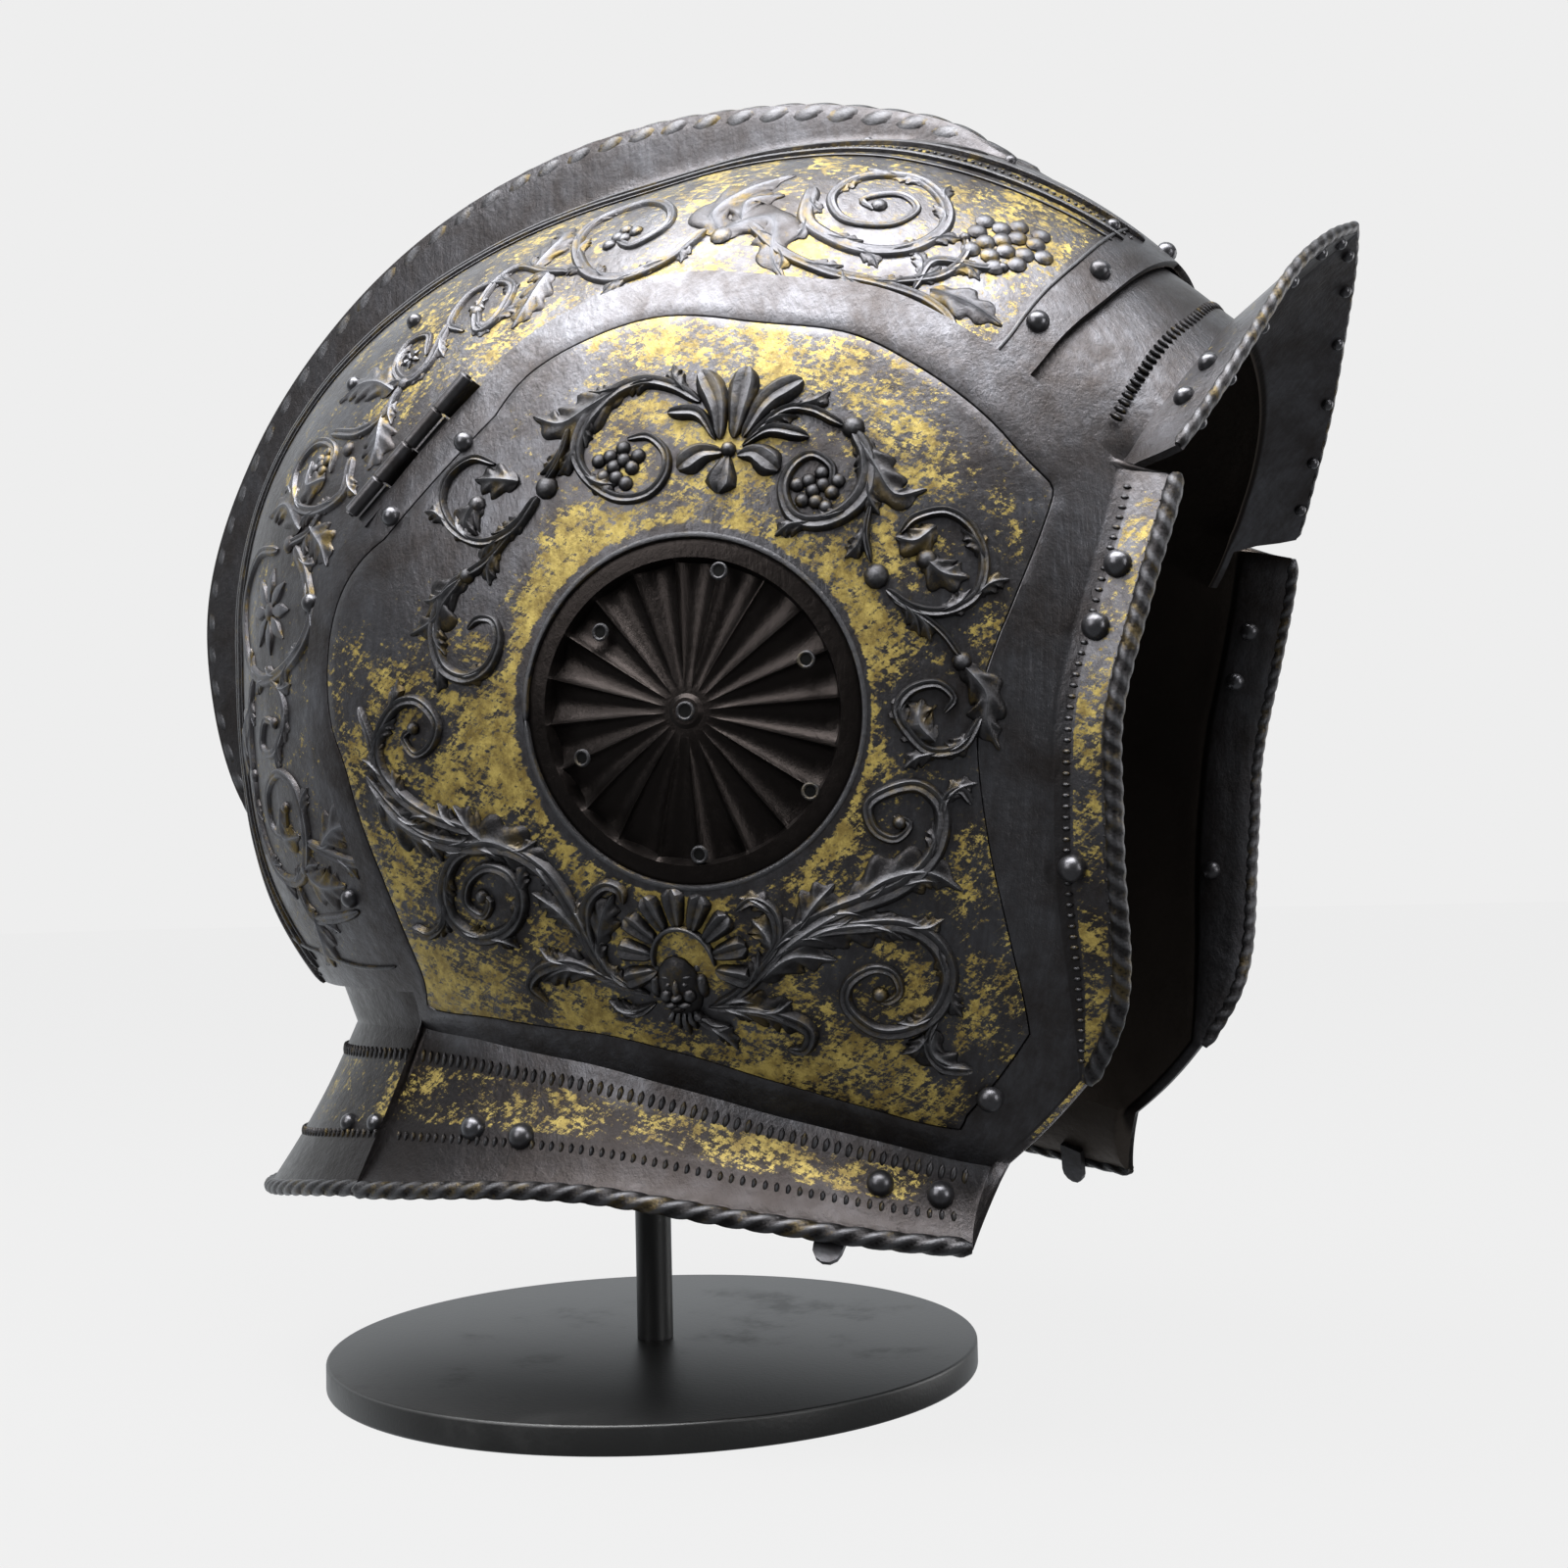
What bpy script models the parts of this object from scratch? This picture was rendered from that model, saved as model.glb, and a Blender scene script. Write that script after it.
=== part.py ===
# Parade helmet with a tall comb, a pointed peak and two hinged cheek-pieces, on a plain stand.
# Metres, +Z up. The origin is the centre of the base disc's underside and the helmet faces -Y,
# so its right side is at -X. Sizes below are in millimetres.

import math

import bmesh
import bpy
from mathutils import Vector

MM = 0.001

# Stand
DISC_R = 85.0
DISC_T = 7.0
DISC_EDGE = 0.8
POST_R = 4.75
PAD_R = 22.0
PAD_EDGE = 2.4
PAD_ROUND = 4.1
PAD_CONE = 4.5
PAD_DROP = 2.9

# Plates
PLATE = 1.8
GAP = 0.35
STEP = PLATE + GAP
LAP = STEP + 0.7
OVER = STEP + 0.5

# Bowl: the centre of its side view, the radius its sections are shares of and its half width
SKULL_Y = -8.0
SKULL_Z = 190.0
SKULL_R = 170.0
SKULL_W = 93.0
COMB_H = 36.5
COMB_FOOT = 12.0

# Face flange, roundel, collar and hinge
FLANGE_W = 14.0
ROUNDEL_R = 38.5
ROUNDEL_Y = SKULL_Y - 0.3212 * SKULL_R
ROUNDEL_Z = SKULL_Z - 0.1606 * SKULL_R
HOLE_R = 1.8
RIM_W = 80.0
RIM_REAR = 121.0
RIM_FRONT = 155.0
KNUCKLE_R = 2.3
BORE_R = 1.35
PIN_R = 1.05
TONGUE_W = 6.5
TONGUE_T = 1.8
TONGUE_DROP = 5.5
HINGE_LIFT = 5.1

# Middle plane of the bowl: angle from the front upward, radius as a share of SKULL_R
PROFILE = (
    (-49, 1.141), (-34, 1.106), (-22, 1.059), (-10, 1.047), (8, 1.035), (23, 0.988), (36, 0.941),
    (50, 0.882), (64, 0.800), (78, 0.729), (90, 0.700), (105, 0.688), (120, 0.694), (136, 0.712),
    (154, 0.729), (170, 0.729), (183, 0.724), (196, 0.741), (206, 0.765), (214, 0.782),
    (222, 0.788), (235, 0.788), (251, 0.788), (265, 0.829), (280, 0.894), (299, 1.012),
    (311, 1.141), (326, 1.106), (338, 1.059),
)
# Comb: angle and height as a share of COMB_H
COMB = (
    (36, 0.0), (42, 0.0), (49, 0.08), (56, 0.25), (64, 0.38), (75, 0.55), (90, 0.68), (120, 0.79),
    (136, 0.82), (154, 0.90), (170, 1.0), (180, 0.945), (188, 0.82), (194, 0.66), (200, 0.41),
    (207, 0.14), (213, 0.0), (220, 0.0),
)
# Comb section: distance out and height share of the outer face, then of the inner face
COMB_SECTION = (
    (0.0, 1.0, 0.0, 1.0),
    (3.2, 0.97, 1.5, 0.97),
    (4.0, 0.80, 2.2, 0.80),
    (5.0, 0.35, 3.2, 0.35),
    (7.5, 0.10, 6.0, 0.09),
    (COMB_FOOT, 0.0, 11.0, 0.0),
)
# Bowl borders: tilt from the middle plane and angle of the front and rear edges
FRONT_EDGE = ((0, 29.8), (16.5, 27.3), (25.5, 25.0), (34, 22.2), (40.5, 18.7), (46, 16.0))
REAR_EDGE = ((0, 221.0), (20, 223.5), (31, 229.5), (40, 239.0), (45, 249.0), (48, 254.0))
# Hidden lower edge of the bowl: angle, distance from the centre as a share of SKULL_R
LOWER_EDGE = (
    (16, 0.700), (25, 0.650), (33, 0.590), (43, 0.510), (57, 0.420), (68, 0.350), (82, 0.280),
    (93, 0.250), (120, 0.190), (143, 0.170), (169, 0.170), (193, 0.200), (209, 0.230),
    (224, 0.270), (240, 0.350), (249, 0.460), (254, 0.525),
)
# Brow plate from the middle to the side: angle and tilt of each line over the plate
BROW_SEAM = ((29.8, 0), (29.0, 8.5), (27.3, 16.5), (25.0, 25.5), (22.2, 34), (18.7, 40.5))
BROW_LINE = ((24.6, 0), (23.6, 7), (22.0, 14), (19.7, 22.5), (16.0, 30), (11.0, 36.7))
BROW_CREASE = ((22.7, 0), (21.5, 7.5), (19.4, 15), (16.2, 23.5), (12.8, 30), (9.9, 33.6))
BROW_TAIL = ((13.5, 46.0), (7.5, 42.5), (5.5, 39.5))
# Edge of the peak: out, forward and up from the bowl's centre as shares of SKULL_R
PEAK_EDGE = (
    (0.0, 1.071, 0.488), (0.080, 1.052, 0.453), (0.165, 1.022, 0.392), (0.240, 0.988, 0.300),
    (0.306, 0.951, 0.207), (0.362, 0.927, 0.142),
)
# Cheek border in the side view: angle and distance as a share of SKULL_R
CHEEK_REAR = (
    (250.0, 0.608), (248.9, 0.537), (238.5, 0.424), (221.4, 0.338), (206.6, 0.312),
    (191.5, 0.288), (168.9, 0.256), (143.3, 0.208),
)
CHEEK_TOP = (
    (88.0, 0.298), (81.0, 0.358), (69.2, 0.429), (58.0, 0.499), (44.0, 0.578), (33.8, 0.665),
    (26.1, 0.717), (18.7, 0.767), (12.9, 0.804), (8.4, 0.841),
)
CHEEK_CREASE = (
    (8.4, 0.841), (-1.1, 0.800), (-10.9, 0.778), (-19.6, 0.794), (-27.5, 0.836), (-34.3, 0.901),
    (-40.3, 0.977),
)
CHEEK_CORNER = ((-40.3, 0.977), (-44.9, 0.977), (-50.0, 0.974))
CHEEK_WAIST = (
    (-50.0, 0.974), (-55.4, 0.868), (-62.0, 0.775), (-70.2, 0.689), (-81.6, 0.621),
    (-97.3, 0.593), (-110.0, 0.608),
)
# Flange from its top to the throat: share of the way, then out, forward and up by FLANGE_W
FLANGE = (
    (0.0, 0.07, 0.96, -0.22), (0.2, 0.07, 0.93, -0.2), (0.4, 0.05, 0.92, -0.25),
    (0.6, 0.0, 1.0, 0.0), (0.85, -0.12, 0.8, -0.2), (1.0, -0.02, 0.14, -0.08),
)
# Collar's rim: place behind the bowl's centre and drop below it, as shares of SKULL_R
RIM_DROP = (
    (-0.6588, 0.8471), (-0.6176, 0.8412), (-0.5118, 0.8294), (-0.3412, 0.8059),
    (-0.1118, 0.7794), (0.2235, 0.7941), (0.4235, 0.8118), (0.6118, 0.8353),
    (0.7235, 0.8471),
)
# Collar's rim that belongs to the cheek: its front and rear ends, in the same way
RIM_SPAN = (-0.6176, 0.2706)
# Roundel: distance from its centre as a share of ROUNDEL_R, depth of its hollows and its ridges
ROUNDEL = (
    (HOLE_R / ROUNDEL_R, 1.5, 1.5), (0.16, 1.5, 1.5), (0.52, 2.9, 1.5), (0.85, 2.9, 1.0),
    (0.90, 1.0, 1.0), (1.0, 0.0, 0.0),
)
# Nape plate: drop below the bowl's centre, half width and depth behind it, the first and the
# last as shares of SKULL_R and the second of SKULL_W, then the turn where it ends
NAPE_RINGS = ((0.4471, 0.7806, 0.6153), (0.5118, 0.7161, 0.5694), (0.5765, 0.6720, 0.5471))
NAPE_TURN = 75.0
# Rivets in the side view: place behind and over the bowl's centre as shares of SKULL_R, head radius
SKULL_RIVETS = (
    (0.2012, 0.4588, 2.2), (0.2876, 0.3694, 2.2),
    (0.2965, 0.0359, 2.4), (0.2824, -0.3829, 2.4),
)
CHEEK_RIVETS = (
    (0.0047, 0.2224, 2.4), (0.1176, 0.1324, 2.4),
    (-0.6441, -0.6559, 2.9),
)
# Rivets by their place on a plate: angle and tilt, shares along it or turn, then head radius
BROW_RIVETS = ((24.2, 35.5, 2.6), (27.7, 23.9, 2.6), (31.3, 0.0, 2.6))
FLANGE_RIVETS = ((0.14, 0.42), (0.235, 0.34), (0.645, 0.3))
COLLAR_RIVETS = ((0.8079, 0.57, 3.2), (0.7086, 0.6, 3.2), (0.1391, 0.42, 3.0), (0.0530, 0.42, 3.0))
NAPE_RIVETS = ((55.0, 2.4), (62.5, 2.4))
BROW_BAND_RIVETS = (0.63, 0.75)
# Hinge ends: place behind and over the bowl's centre as shares of SKULL_R
HINGE_ENDS = ((0.0082, 0.3171), (0.1859, 0.1441))
# Strap tongues: share along the cheek's part of the collar
PEG_SHARE = 0.1854
HOOK_SHARE = 0.1060

PATINA = (0.045, 0.042, 0.042)
DARK_STEEL = (0.02, 0.019, 0.018)
MATT_BLACK = (0.012, 0.012, 0.012)


def material(name, colour, metal, rough):
    """Plain Principled material."""
    slot = bpy.data.materials.new(name)
    slot.use_nodes = True
    shader = slot.node_tree.nodes["Principled BSDF"]
    shader.inputs["Base Color"].default_value = (*colour, 1.0)
    shader.inputs["Metallic"].default_value = metal
    shader.inputs["Roughness"].default_value = rough
    return slot


def along(table, place):
    """Smooth value of a table of (place, value...) rows, as a tuple."""
    last = len(table) - 2
    row = 0
    while row < last and place > table[row + 1][0]:
        row += 1
    start = table[row][0]
    width = table[row + 1][0] - start
    share = min(max((place - start) / width, 0.0), 1.0)
    values = []
    for item in range(1, len(table[row])):
        slopes = []
        for knot in (row, row + 1):
            pair = []
            for left in (knot - 1, knot):
                if 0 <= left <= last:
                    rise = table[left + 1][item] - table[left][item]
                    pair.append(rise / (table[left + 1][0] - table[left][0]))
            slopes.append(sum(pair) / len(pair))
        low = table[row][item]
        high = table[row + 1][item]
        back = 1.0 - share
        value = low * (1 + 2 * share) * back * back + high * share * share * (3 - 2 * share)
        value += width * (slopes[0] * share * back * back - slopes[1] * share * share * back)
        values.append(value)
    return tuple(values)


def spread(rows, share):
    """Smooth row of an evenly spaced table at a share of its length."""
    table = [(index / (len(rows) - 1), *row) for index, row in enumerate(rows)]
    return along(table, share)


def bowl_radius(angle):
    """Radius of the bowl's middle plane at an angle from the front upward."""
    return SKULL_R * along(PROFILE, (angle + 34.0) % 360.0 - 34.0)[0]


def comb_height(angle):
    """Height of the comb over the bowl at an angle."""
    if angle < COMB[0][0] or angle > COMB[-1][0]:
        return 0.0
    return max(COMB_H * along(COMB, angle)[0], 0.0)


def bowl_point(angle, tilt, lift):
    """Point on the bowl's right side from its angle and its tilt out of the middle plane."""
    turn = math.radians(angle)
    side = math.radians(tilt)
    reach = (bowl_radius(angle) + lift) * math.cos(side)
    out = (SKULL_W + lift) * math.sin(side)
    return Vector((-out, SKULL_Y - reach * math.cos(turn), SKULL_Z + reach * math.sin(turn)))


def side_point(y, z, lift):
    """Point on the bowl's right side that is seen at y, z in the side view."""
    forward = SKULL_Y - y
    up = z - SKULL_Z
    reach = math.hypot(forward, up)
    angle = math.degrees(math.atan2(up, forward))
    share = min(reach / (bowl_radius(angle) + lift), 0.999)
    return Vector((-(SKULL_W + lift) * math.sqrt(1.0 - share * share), y, z))


def side_normal(y, z):
    """Outward direction of the bowl's right side at y, z in the side view."""
    across = side_point(y + 0.5, z, 0.0) - side_point(y - 0.5, z, 0.0)
    up = side_point(y, z + 0.5, 0.0) - side_point(y, z - 0.5, 0.0)
    return up.cross(across).normalized()


def bowl_normal(angle, tilt):
    """Outward direction of the bowl at an angle and a tilt."""
    turn = bowl_point(angle + 0.5, tilt, 0.0) - bowl_point(angle - 0.5, tilt, 0.0)
    lean = bowl_point(angle, tilt + 0.5, 0.0) - bowl_point(angle, tilt - 0.5, 0.0)
    normal = turn.cross(lean).normalized()
    if normal.dot(bowl_point(angle, tilt, 0.0) - Vector((0, SKULL_Y, SKULL_Z))) < 0:
        normal.negate()
    return normal


def polar(angle, share):
    """Place in the side view from an angle and a share of SKULL_R."""
    turn = math.radians(angle)
    reach = SKULL_R * share
    return Vector((SKULL_Y - reach * math.cos(turn), SKULL_Z + reach * math.sin(turn)))


def beside_centre(back, over):
    """Place in the side view behind and over the bowl's centre, by shares of SKULL_R."""
    return SKULL_Y + SKULL_R * back, SKULL_Z + SKULL_R * over


def mirrored(point):
    """The same place on the other side."""
    return Vector((-point.x, point.y, point.z))


def solid(name, points, faces, slot, pivot=None):
    """Object with one closed body, its mesh written round its pivot."""
    origin = pivot.location / MM if pivot else Vector((0, 0, 0))
    mesh = bpy.data.meshes.new(name)
    mesh.from_pydata([(point - origin) * MM for point in points], [], faces)
    made = bmesh.new()
    made.from_mesh(mesh)
    bmesh.ops.recalc_face_normals(made, faces=made.faces)
    made.to_mesh(mesh)
    made.free()
    mesh.materials.append(slot)
    body = bpy.data.objects.new(name, mesh)
    bpy.data.collections["parade_helmet"].objects.link(body)
    if pivot:
        body.parent = pivot
    return body


def shell(name, outer, inner, closed, slot, pivot=None):
    """Plate between two grids of points, with walls round every open side."""
    rows = len(outer)
    cols = len(outer[0])
    half = rows * cols
    points = [point for row in outer for point in row] + [point for row in inner for point in row]
    faces = []
    steps = cols if closed else cols - 1
    for row in range(rows - 1):
        for col in range(steps):
            a = row * cols + col
            b = row * cols + (col + 1) % cols
            c = b + cols
            d = a + cols
            faces.append((a, b, c, d))
            faces.append((half + a, half + d, half + c, half + b))
    for row in (0, rows - 1):
        for col in range(steps):
            a = row * cols + col
            b = row * cols + (col + 1) % cols
            faces.append((a, b, half + b, half + a))
    if not closed:
        for row in range(rows - 1):
            for col in (0, cols - 1):
                a = row * cols + col
                b = a + cols
                faces.append((a, b, half + b, half + a))
    return solid(name, points, faces, slot, pivot)


def turned(name, profile, steps, slot, base, axis, pivot=None):
    """Solid of revolution from (radius, height) rows about an axis through base."""
    axis = axis.normalized()
    across = axis.orthogonal().normalized()
    other = axis.cross(across)
    points = []
    rings = []
    for radius, height in profile:
        centre = base + axis * height
        if radius == 0.0:
            rings.append([len(points)])
            points.append(centre)
            continue
        rings.append(list(range(len(points), len(points) + steps)))
        for step in range(steps):
            turn = 2 * math.pi * step / steps
            points.append(centre + across * radius * math.cos(turn) + other * radius * math.sin(turn))
    faces = []
    for low, high in zip(rings, rings[1:]):
        for step in range(steps):
            after = (step + 1) % steps
            if len(low) == 1:
                faces.append((low[0], high[step], high[after]))
            elif len(high) == 1:
                faces.append((low[step], low[after], high[0]))
            else:
                faces.append((low[step], low[after], high[after], high[step]))
    for ring in (rings[0], rings[-1]):
        if len(ring) > 1:
            faces.append(tuple(ring))
    return solid(name, points, faces, slot, pivot)


def rivet(name, place, normal, radius, slot, pivot=None):
    """Round rivet head with its flat side just off the plate."""
    profile = (
        (radius, GAP * 0.6),
        (radius * 0.86, GAP + radius * 0.45),
        (radius * 0.45, GAP + radius * 0.72),
        (0.0, GAP + radius * 0.8),
    )
    return turned(name, profile, 8, slot, place, normal, pivot)


def skull_columns(share):
    """Outer and inner points of one row of the bowl, from the middle plane to the right edge."""
    edge_angle = 16.0 + (254.0 - 16.0) * share
    edge_tilt = math.degrees(math.acos(SKULL_R * along(LOWER_EDGE, edge_angle)[0] / bowl_radius(edge_angle)))
    foot_tilt = math.degrees(math.asin(COMB_FOOT / SKULL_W))
    outer = []
    inner = []

    def angle_at(tilt):
        front = along(FRONT_EDGE, min(tilt, 46.0))[0]
        rear = along(REAR_EDGE, min(tilt, 48.0))[0]
        return front * (1.0 - share) + rear * share

    for out, part, inside, inner_part in COMB_SECTION:
        tilt = math.degrees(math.asin(out / SKULL_W))
        angle = angle_at(tilt)
        height = comb_height(angle)
        outer.append(bowl_point(angle, tilt, height * part))
        drop = PLATE
        if 0.0 < out < COMB_FOOT - 5.0 and height > 0.0:
            drop = PLATE * (1.0 - 0.6 * min(height / 10.0, 1.0))
        tilt = math.degrees(math.asin(inside / SKULL_W))
        inner.append(bowl_point(angle, tilt, height * inner_part - drop))
    steps = 7
    for step in range(1, steps + 1):
        tilt = foot_tilt + (edge_tilt - foot_tilt) * step / steps
        angle = angle_at(tilt)
        place = bowl_point(angle, tilt, 0.0)
        outer.append(place)
        inner.append(place - bowl_normal(angle, tilt) * PLATE)
    return outer, inner


def make_skull(slot):
    """Hollow bowl with its comb, raised in one plate."""
    rows = 34
    outer = []
    inner = []
    for row in range(rows + 1):
        right_out, right_in = skull_columns(row / rows)
        left_out = [mirrored(point) for point in right_out[:0:-1]]
        left_in = [mirrored(point) for point in right_in[:0:-1]]
        outer.append(left_out + right_out)
        inner.append(left_in + right_in)
    return shell("skull", outer, inner, False, slot)


def brow_column(share, tail):
    """Outer and inner points down the brow plate and out along its peak."""
    lines = []
    for line, rest in zip((BROW_SEAM, BROW_LINE, BROW_CREASE), BROW_TAIL):
        angle, tilt = spread(line, share)
        angle += (rest[0] - angle) * tail
        tilt += (rest[1] - tilt) * tail
        lines.append((angle, tilt))
    fade = share ** 4
    rise = (-LAP, -0.5 - (LAP - 0.5) * fade, 0.8 - (LAP + 0.8) * fade)
    seam, line, crease = lines
    outer = [bowl_point(seam[0] + 5.0, seam[1], -LAP)]
    inner = [bowl_point(seam[0] + 5.0, seam[1], -LAP - PLATE)]
    for (angle, tilt), lift in zip((seam, line), rise):
        outer.append(bowl_point(angle, tilt, lift))
        inner.append(outer[-1] - bowl_normal(angle, tilt) * PLATE)
    corner = bowl_point(*crease, rise[2])
    out, forward, up = spread(PEAK_EDGE, share)
    edge = Vector((-out * SKULL_R, SKULL_Y - forward * SKULL_R, SKULL_Z + up * SKULL_R))
    middle = bowl_point(*spread(BROW_CREASE, share), 0.0)
    ahead = bowl_point(*spread(BROW_CREASE, min(share + 0.02, 1.0)), 0.0)
    behind = bowl_point(*spread(BROW_CREASE, share - 0.02 if share > 0.02 else 0.0), 0.0)
    way = edge - middle
    under = way.cross(ahead - behind).normalized()
    if share == 0.0:
        under = Vector((0, -way.z, way.y)).normalized()
    if under.z > 0:
        under.negate()
    size = 1.0 if tail == 0.0 else 0.07
    outer.append(corner)
    inner.append(corner + (under - bowl_normal(*crease)).normalized() * PLATE * 1.25)
    for reach in (0.25, 0.92, 1.0):
        point = corner + (edge - middle) * reach * size
        outer.append(point)
        inner.append(point + under * PLATE)
    return outer, inner


def make_brow(slot):
    """Brow plate with its turned-up pointed peak."""
    right = [brow_column(step / 8, 0.0) for step in range(9)]
    right.append(brow_column(1.0, 0.3))
    right.append(brow_column(1.0, 1.0))
    columns = [([mirrored(p) for p in out], [mirrored(p) for p in ins]) for out, ins in right[:0:-1]]
    columns += right
    return shell("brow_peak", [c[0] for c in columns], [c[1] for c in columns], False, slot)


def rim_point(y, lift):
    """Point of the collar's rim on the right side at a place from front to rear."""
    back = y - SKULL_Y
    depth = (RIM_REAR if back > 0 else RIM_FRONT) + lift
    share = min(abs(back) / depth, 1.0)
    z = SKULL_Z - SKULL_R * along(RIM_DROP, back / SKULL_R)[0]
    return Vector((-(RIM_W + lift) * math.sqrt(1.0 - share * share), y, z))


def level_out(point):
    """Level direction away from the middle of the neck."""
    return Vector((point.x * 1.6, point.y - SKULL_Y, 0.0)).normalized()


def nape_column(turn):
    """Outer and inner points down the nape plate at a turn round the neck from the rear."""
    outer = []
    for drop, wide, deep in NAPE_RINGS:
        out = SKULL_W * wide * math.sin(math.radians(turn))
        back = SKULL_R * deep * math.cos(math.radians(turn))
        outer.append(Vector((-out, SKULL_Y + back, SKULL_Z - SKULL_R * drop)))
    waist = outer[-1]
    rim = rim_point(SKULL_Y + (RIM_REAR - 0.3) * math.cos(math.radians(turn)), -0.3)
    for reach in (0.3, 0.62, 0.9, 1.0):
        outer.append(waist + (rim - waist) * reach)
    inner = [point - level_out(point) * PLATE for point in outer]
    inner[0] = inner[0] - Vector((0, 0, 1.2))
    return outer, inner


def make_nape(slot):
    """Neck plate at the rear, from under the bowl to the rim."""
    right = [nape_column(NAPE_TURN * step / 9) for step in range(10)]
    columns = [([mirrored(p) for p in out], [mirrored(p) for p in ins]) for out, ins in right[:0:-1]]
    columns += right
    return shell("nape_collar", [c[0] for c in columns], [c[1] for c in columns], False, slot)


def resampled(line, steps):
    """Evenly spaced places along a smooth line of polar rows, without its last place."""
    dense = [polar(*spread(line, index / 60)) for index in range(61)]
    lengths = [0.0]
    for start, end in zip(dense, dense[1:]):
        lengths.append(lengths[-1] + (end - start).length)
    places = []
    for step in range(steps):
        target = lengths[-1] * step / steps
        index = 0
        while lengths[index + 1] < target:
            index += 1
        part = (target - lengths[index]) / (lengths[index + 1] - lengths[index])
        places.append(dense[index].lerp(dense[index + 1], part))
    return places


def cheek_border():
    """Places round the cheek in the side view, each with what the plate does beyond it."""
    rear = resampled(CHEEK_REAR, 7)
    hinge = [polar(*CHEEK_REAR[-1]).lerp(polar(*CHEEK_TOP[0]), step / 3) for step in range(3)]
    top = resampled(CHEEK_TOP, 9)
    front = resampled(CHEEK_CREASE, 8)
    corner = resampled(CHEEK_CORNER, 2)
    waist = resampled(CHEEK_WAIST, 8)
    near_flange = front[0].lerp(top[-1], 0.12)
    near_collar = waist[0].lerp(corner[-1], 0.2)
    near_rear = rear[0].lerp(rear[1], 0.12)
    end = polar(*CHEEK_WAIST[-1])
    border = [(near_rear, "plain", 0.0)]
    border += [(place, "plain", 0.0) for place in rear[1:] + hinge + top]
    border.append((near_flange, "plain", 0.0))
    border += [(place, "flange", index / 8) for index, place in enumerate(front)]
    border.append((corner[0], "flange", 1.0))
    border.append((near_collar, "flange", 1.0))
    border += [(place, "collar", index / 8) for index, place in enumerate(waist)]
    border.append((end, "collar", 1.0))
    return border


def waist_rim(share):
    """Rim point that belongs to a share of the cheek's waist."""
    front, rear = RIM_SPAN
    return rim_point(SKULL_Y + SKULL_R * (front + (rear - front) * share), STEP - 0.3)


def cheek_beyond(place, kind, share):
    """Outer and inner points past the cheek's border: plain edge, flange or collar."""
    start = side_point(place.x, place.y, OVER)
    normal = side_normal(place.x, place.y)
    outer = []
    inner = []
    if kind == "flange":
        out, forward, up = along(FLANGE, share)
        way = Vector((-out, -forward, up)) * FLANGE_W
        face = way.cross(Vector((0, 0, 1))).normalized()
        if face.x > 0:
            face.negate()
        for reach, rise in ((0.25, -0.6), (0.85, 0.0), (1.0, 0.8)):
            point = start + way * reach + face * rise * way.length / FLANGE_W
            outer.append(point)
            inner.append(point - face * PLATE)
        return outer, inner
    if kind == "collar":
        rim = waist_rim(share)
        for reach, bulge in ((0.35, 0.0), (0.86, 0.0), (1.0, 1.0)):
            point = start + (rim - start) * reach
            outer.append(point + level_out(point) * bulge)
            inner.append(point - level_out(point) * PLATE)
        return outer, inner
    away = (place - Vector((ROUNDEL_Y, ROUNDEL_Z))).normalized()
    for reach in (0.4, 0.8, 1.2):
        y = place.x + away.x * reach
        z = place.y + away.y * reach
        outer.append(side_point(y, z, OVER))
        inner.append(outer[-1] - normal * PLATE)
    return outer, inner


def make_cheek(name, slot, pivot, flip):
    """Cheek-piece with its sunk roundel, face flange and part of the collar."""
    border = cheek_border()
    count = len(border)
    centre = Vector((ROUNDEL_Y, ROUNDEL_Z))
    start_turn = math.radians(-36.0)
    outer = []
    inner = []
    circle = []
    for index in range(count):
        turn = start_turn + 2 * math.pi * index / count
        circle.append(Vector((math.cos(turn), math.sin(turn))) * ROUNDEL_R)
    for share, hollow, ridge in ROUNDEL:
        row_out = []
        row_in = []
        for index in range(count):
            place = centre + circle[index] * share
            sink = hollow if index % 2 else ridge
            normal = side_normal(place.x, place.y)
            point = side_point(place.x, place.y, OVER) - normal * sink
            row_out.append(point)
            row_in.append(point - normal * PLATE)
        outer.append(row_out)
        inner.append(row_in)
    for share in (0.3, 0.62, 0.88, 1.0):
        row_out = []
        row_in = []
        for index in range(count):
            place = (centre + circle[index]).lerp(border[index][0], share)
            point = side_point(place.x, place.y, OVER)
            row_out.append(point)
            row_in.append(point - side_normal(place.x, place.y) * PLATE)
        outer.append(row_out)
        inner.append(row_in)
    beyond = [cheek_beyond(*item) for item in border]
    for step in range(3):
        outer.append([item[0][step] for item in beyond])
        inner.append([item[1][step] for item in beyond])
    if flip:
        outer = [[mirrored(point) for point in row] for row in outer]
        inner = [[mirrored(point) for point in row] for row in inner]
    return shell(name, outer, inner, True, slot, pivot)


def hinge_ends():
    """Upper and lower end of the right hinge's axis."""
    return [side_point(*beside_centre(*place), HINGE_LIFT) for place in HINGE_ENDS]


def hinge_frame():
    """Direction, outward and cheekward directions of the right hinge."""
    top, low = hinge_ends()
    way = (low - top).normalized()
    middle = (top + low) / 2
    outward = side_normal(middle.y, middle.z)
    outward = (outward - way * outward.dot(way)).normalized()
    cheekward = outward.cross(way).normalized()
    if cheekward.dot(Vector((0, ROUNDEL_Y, ROUNDEL_Z)) - Vector((0, middle.y, middle.z))) < 0:
        cheekward.negate()
    return way, outward, cheekward


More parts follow.
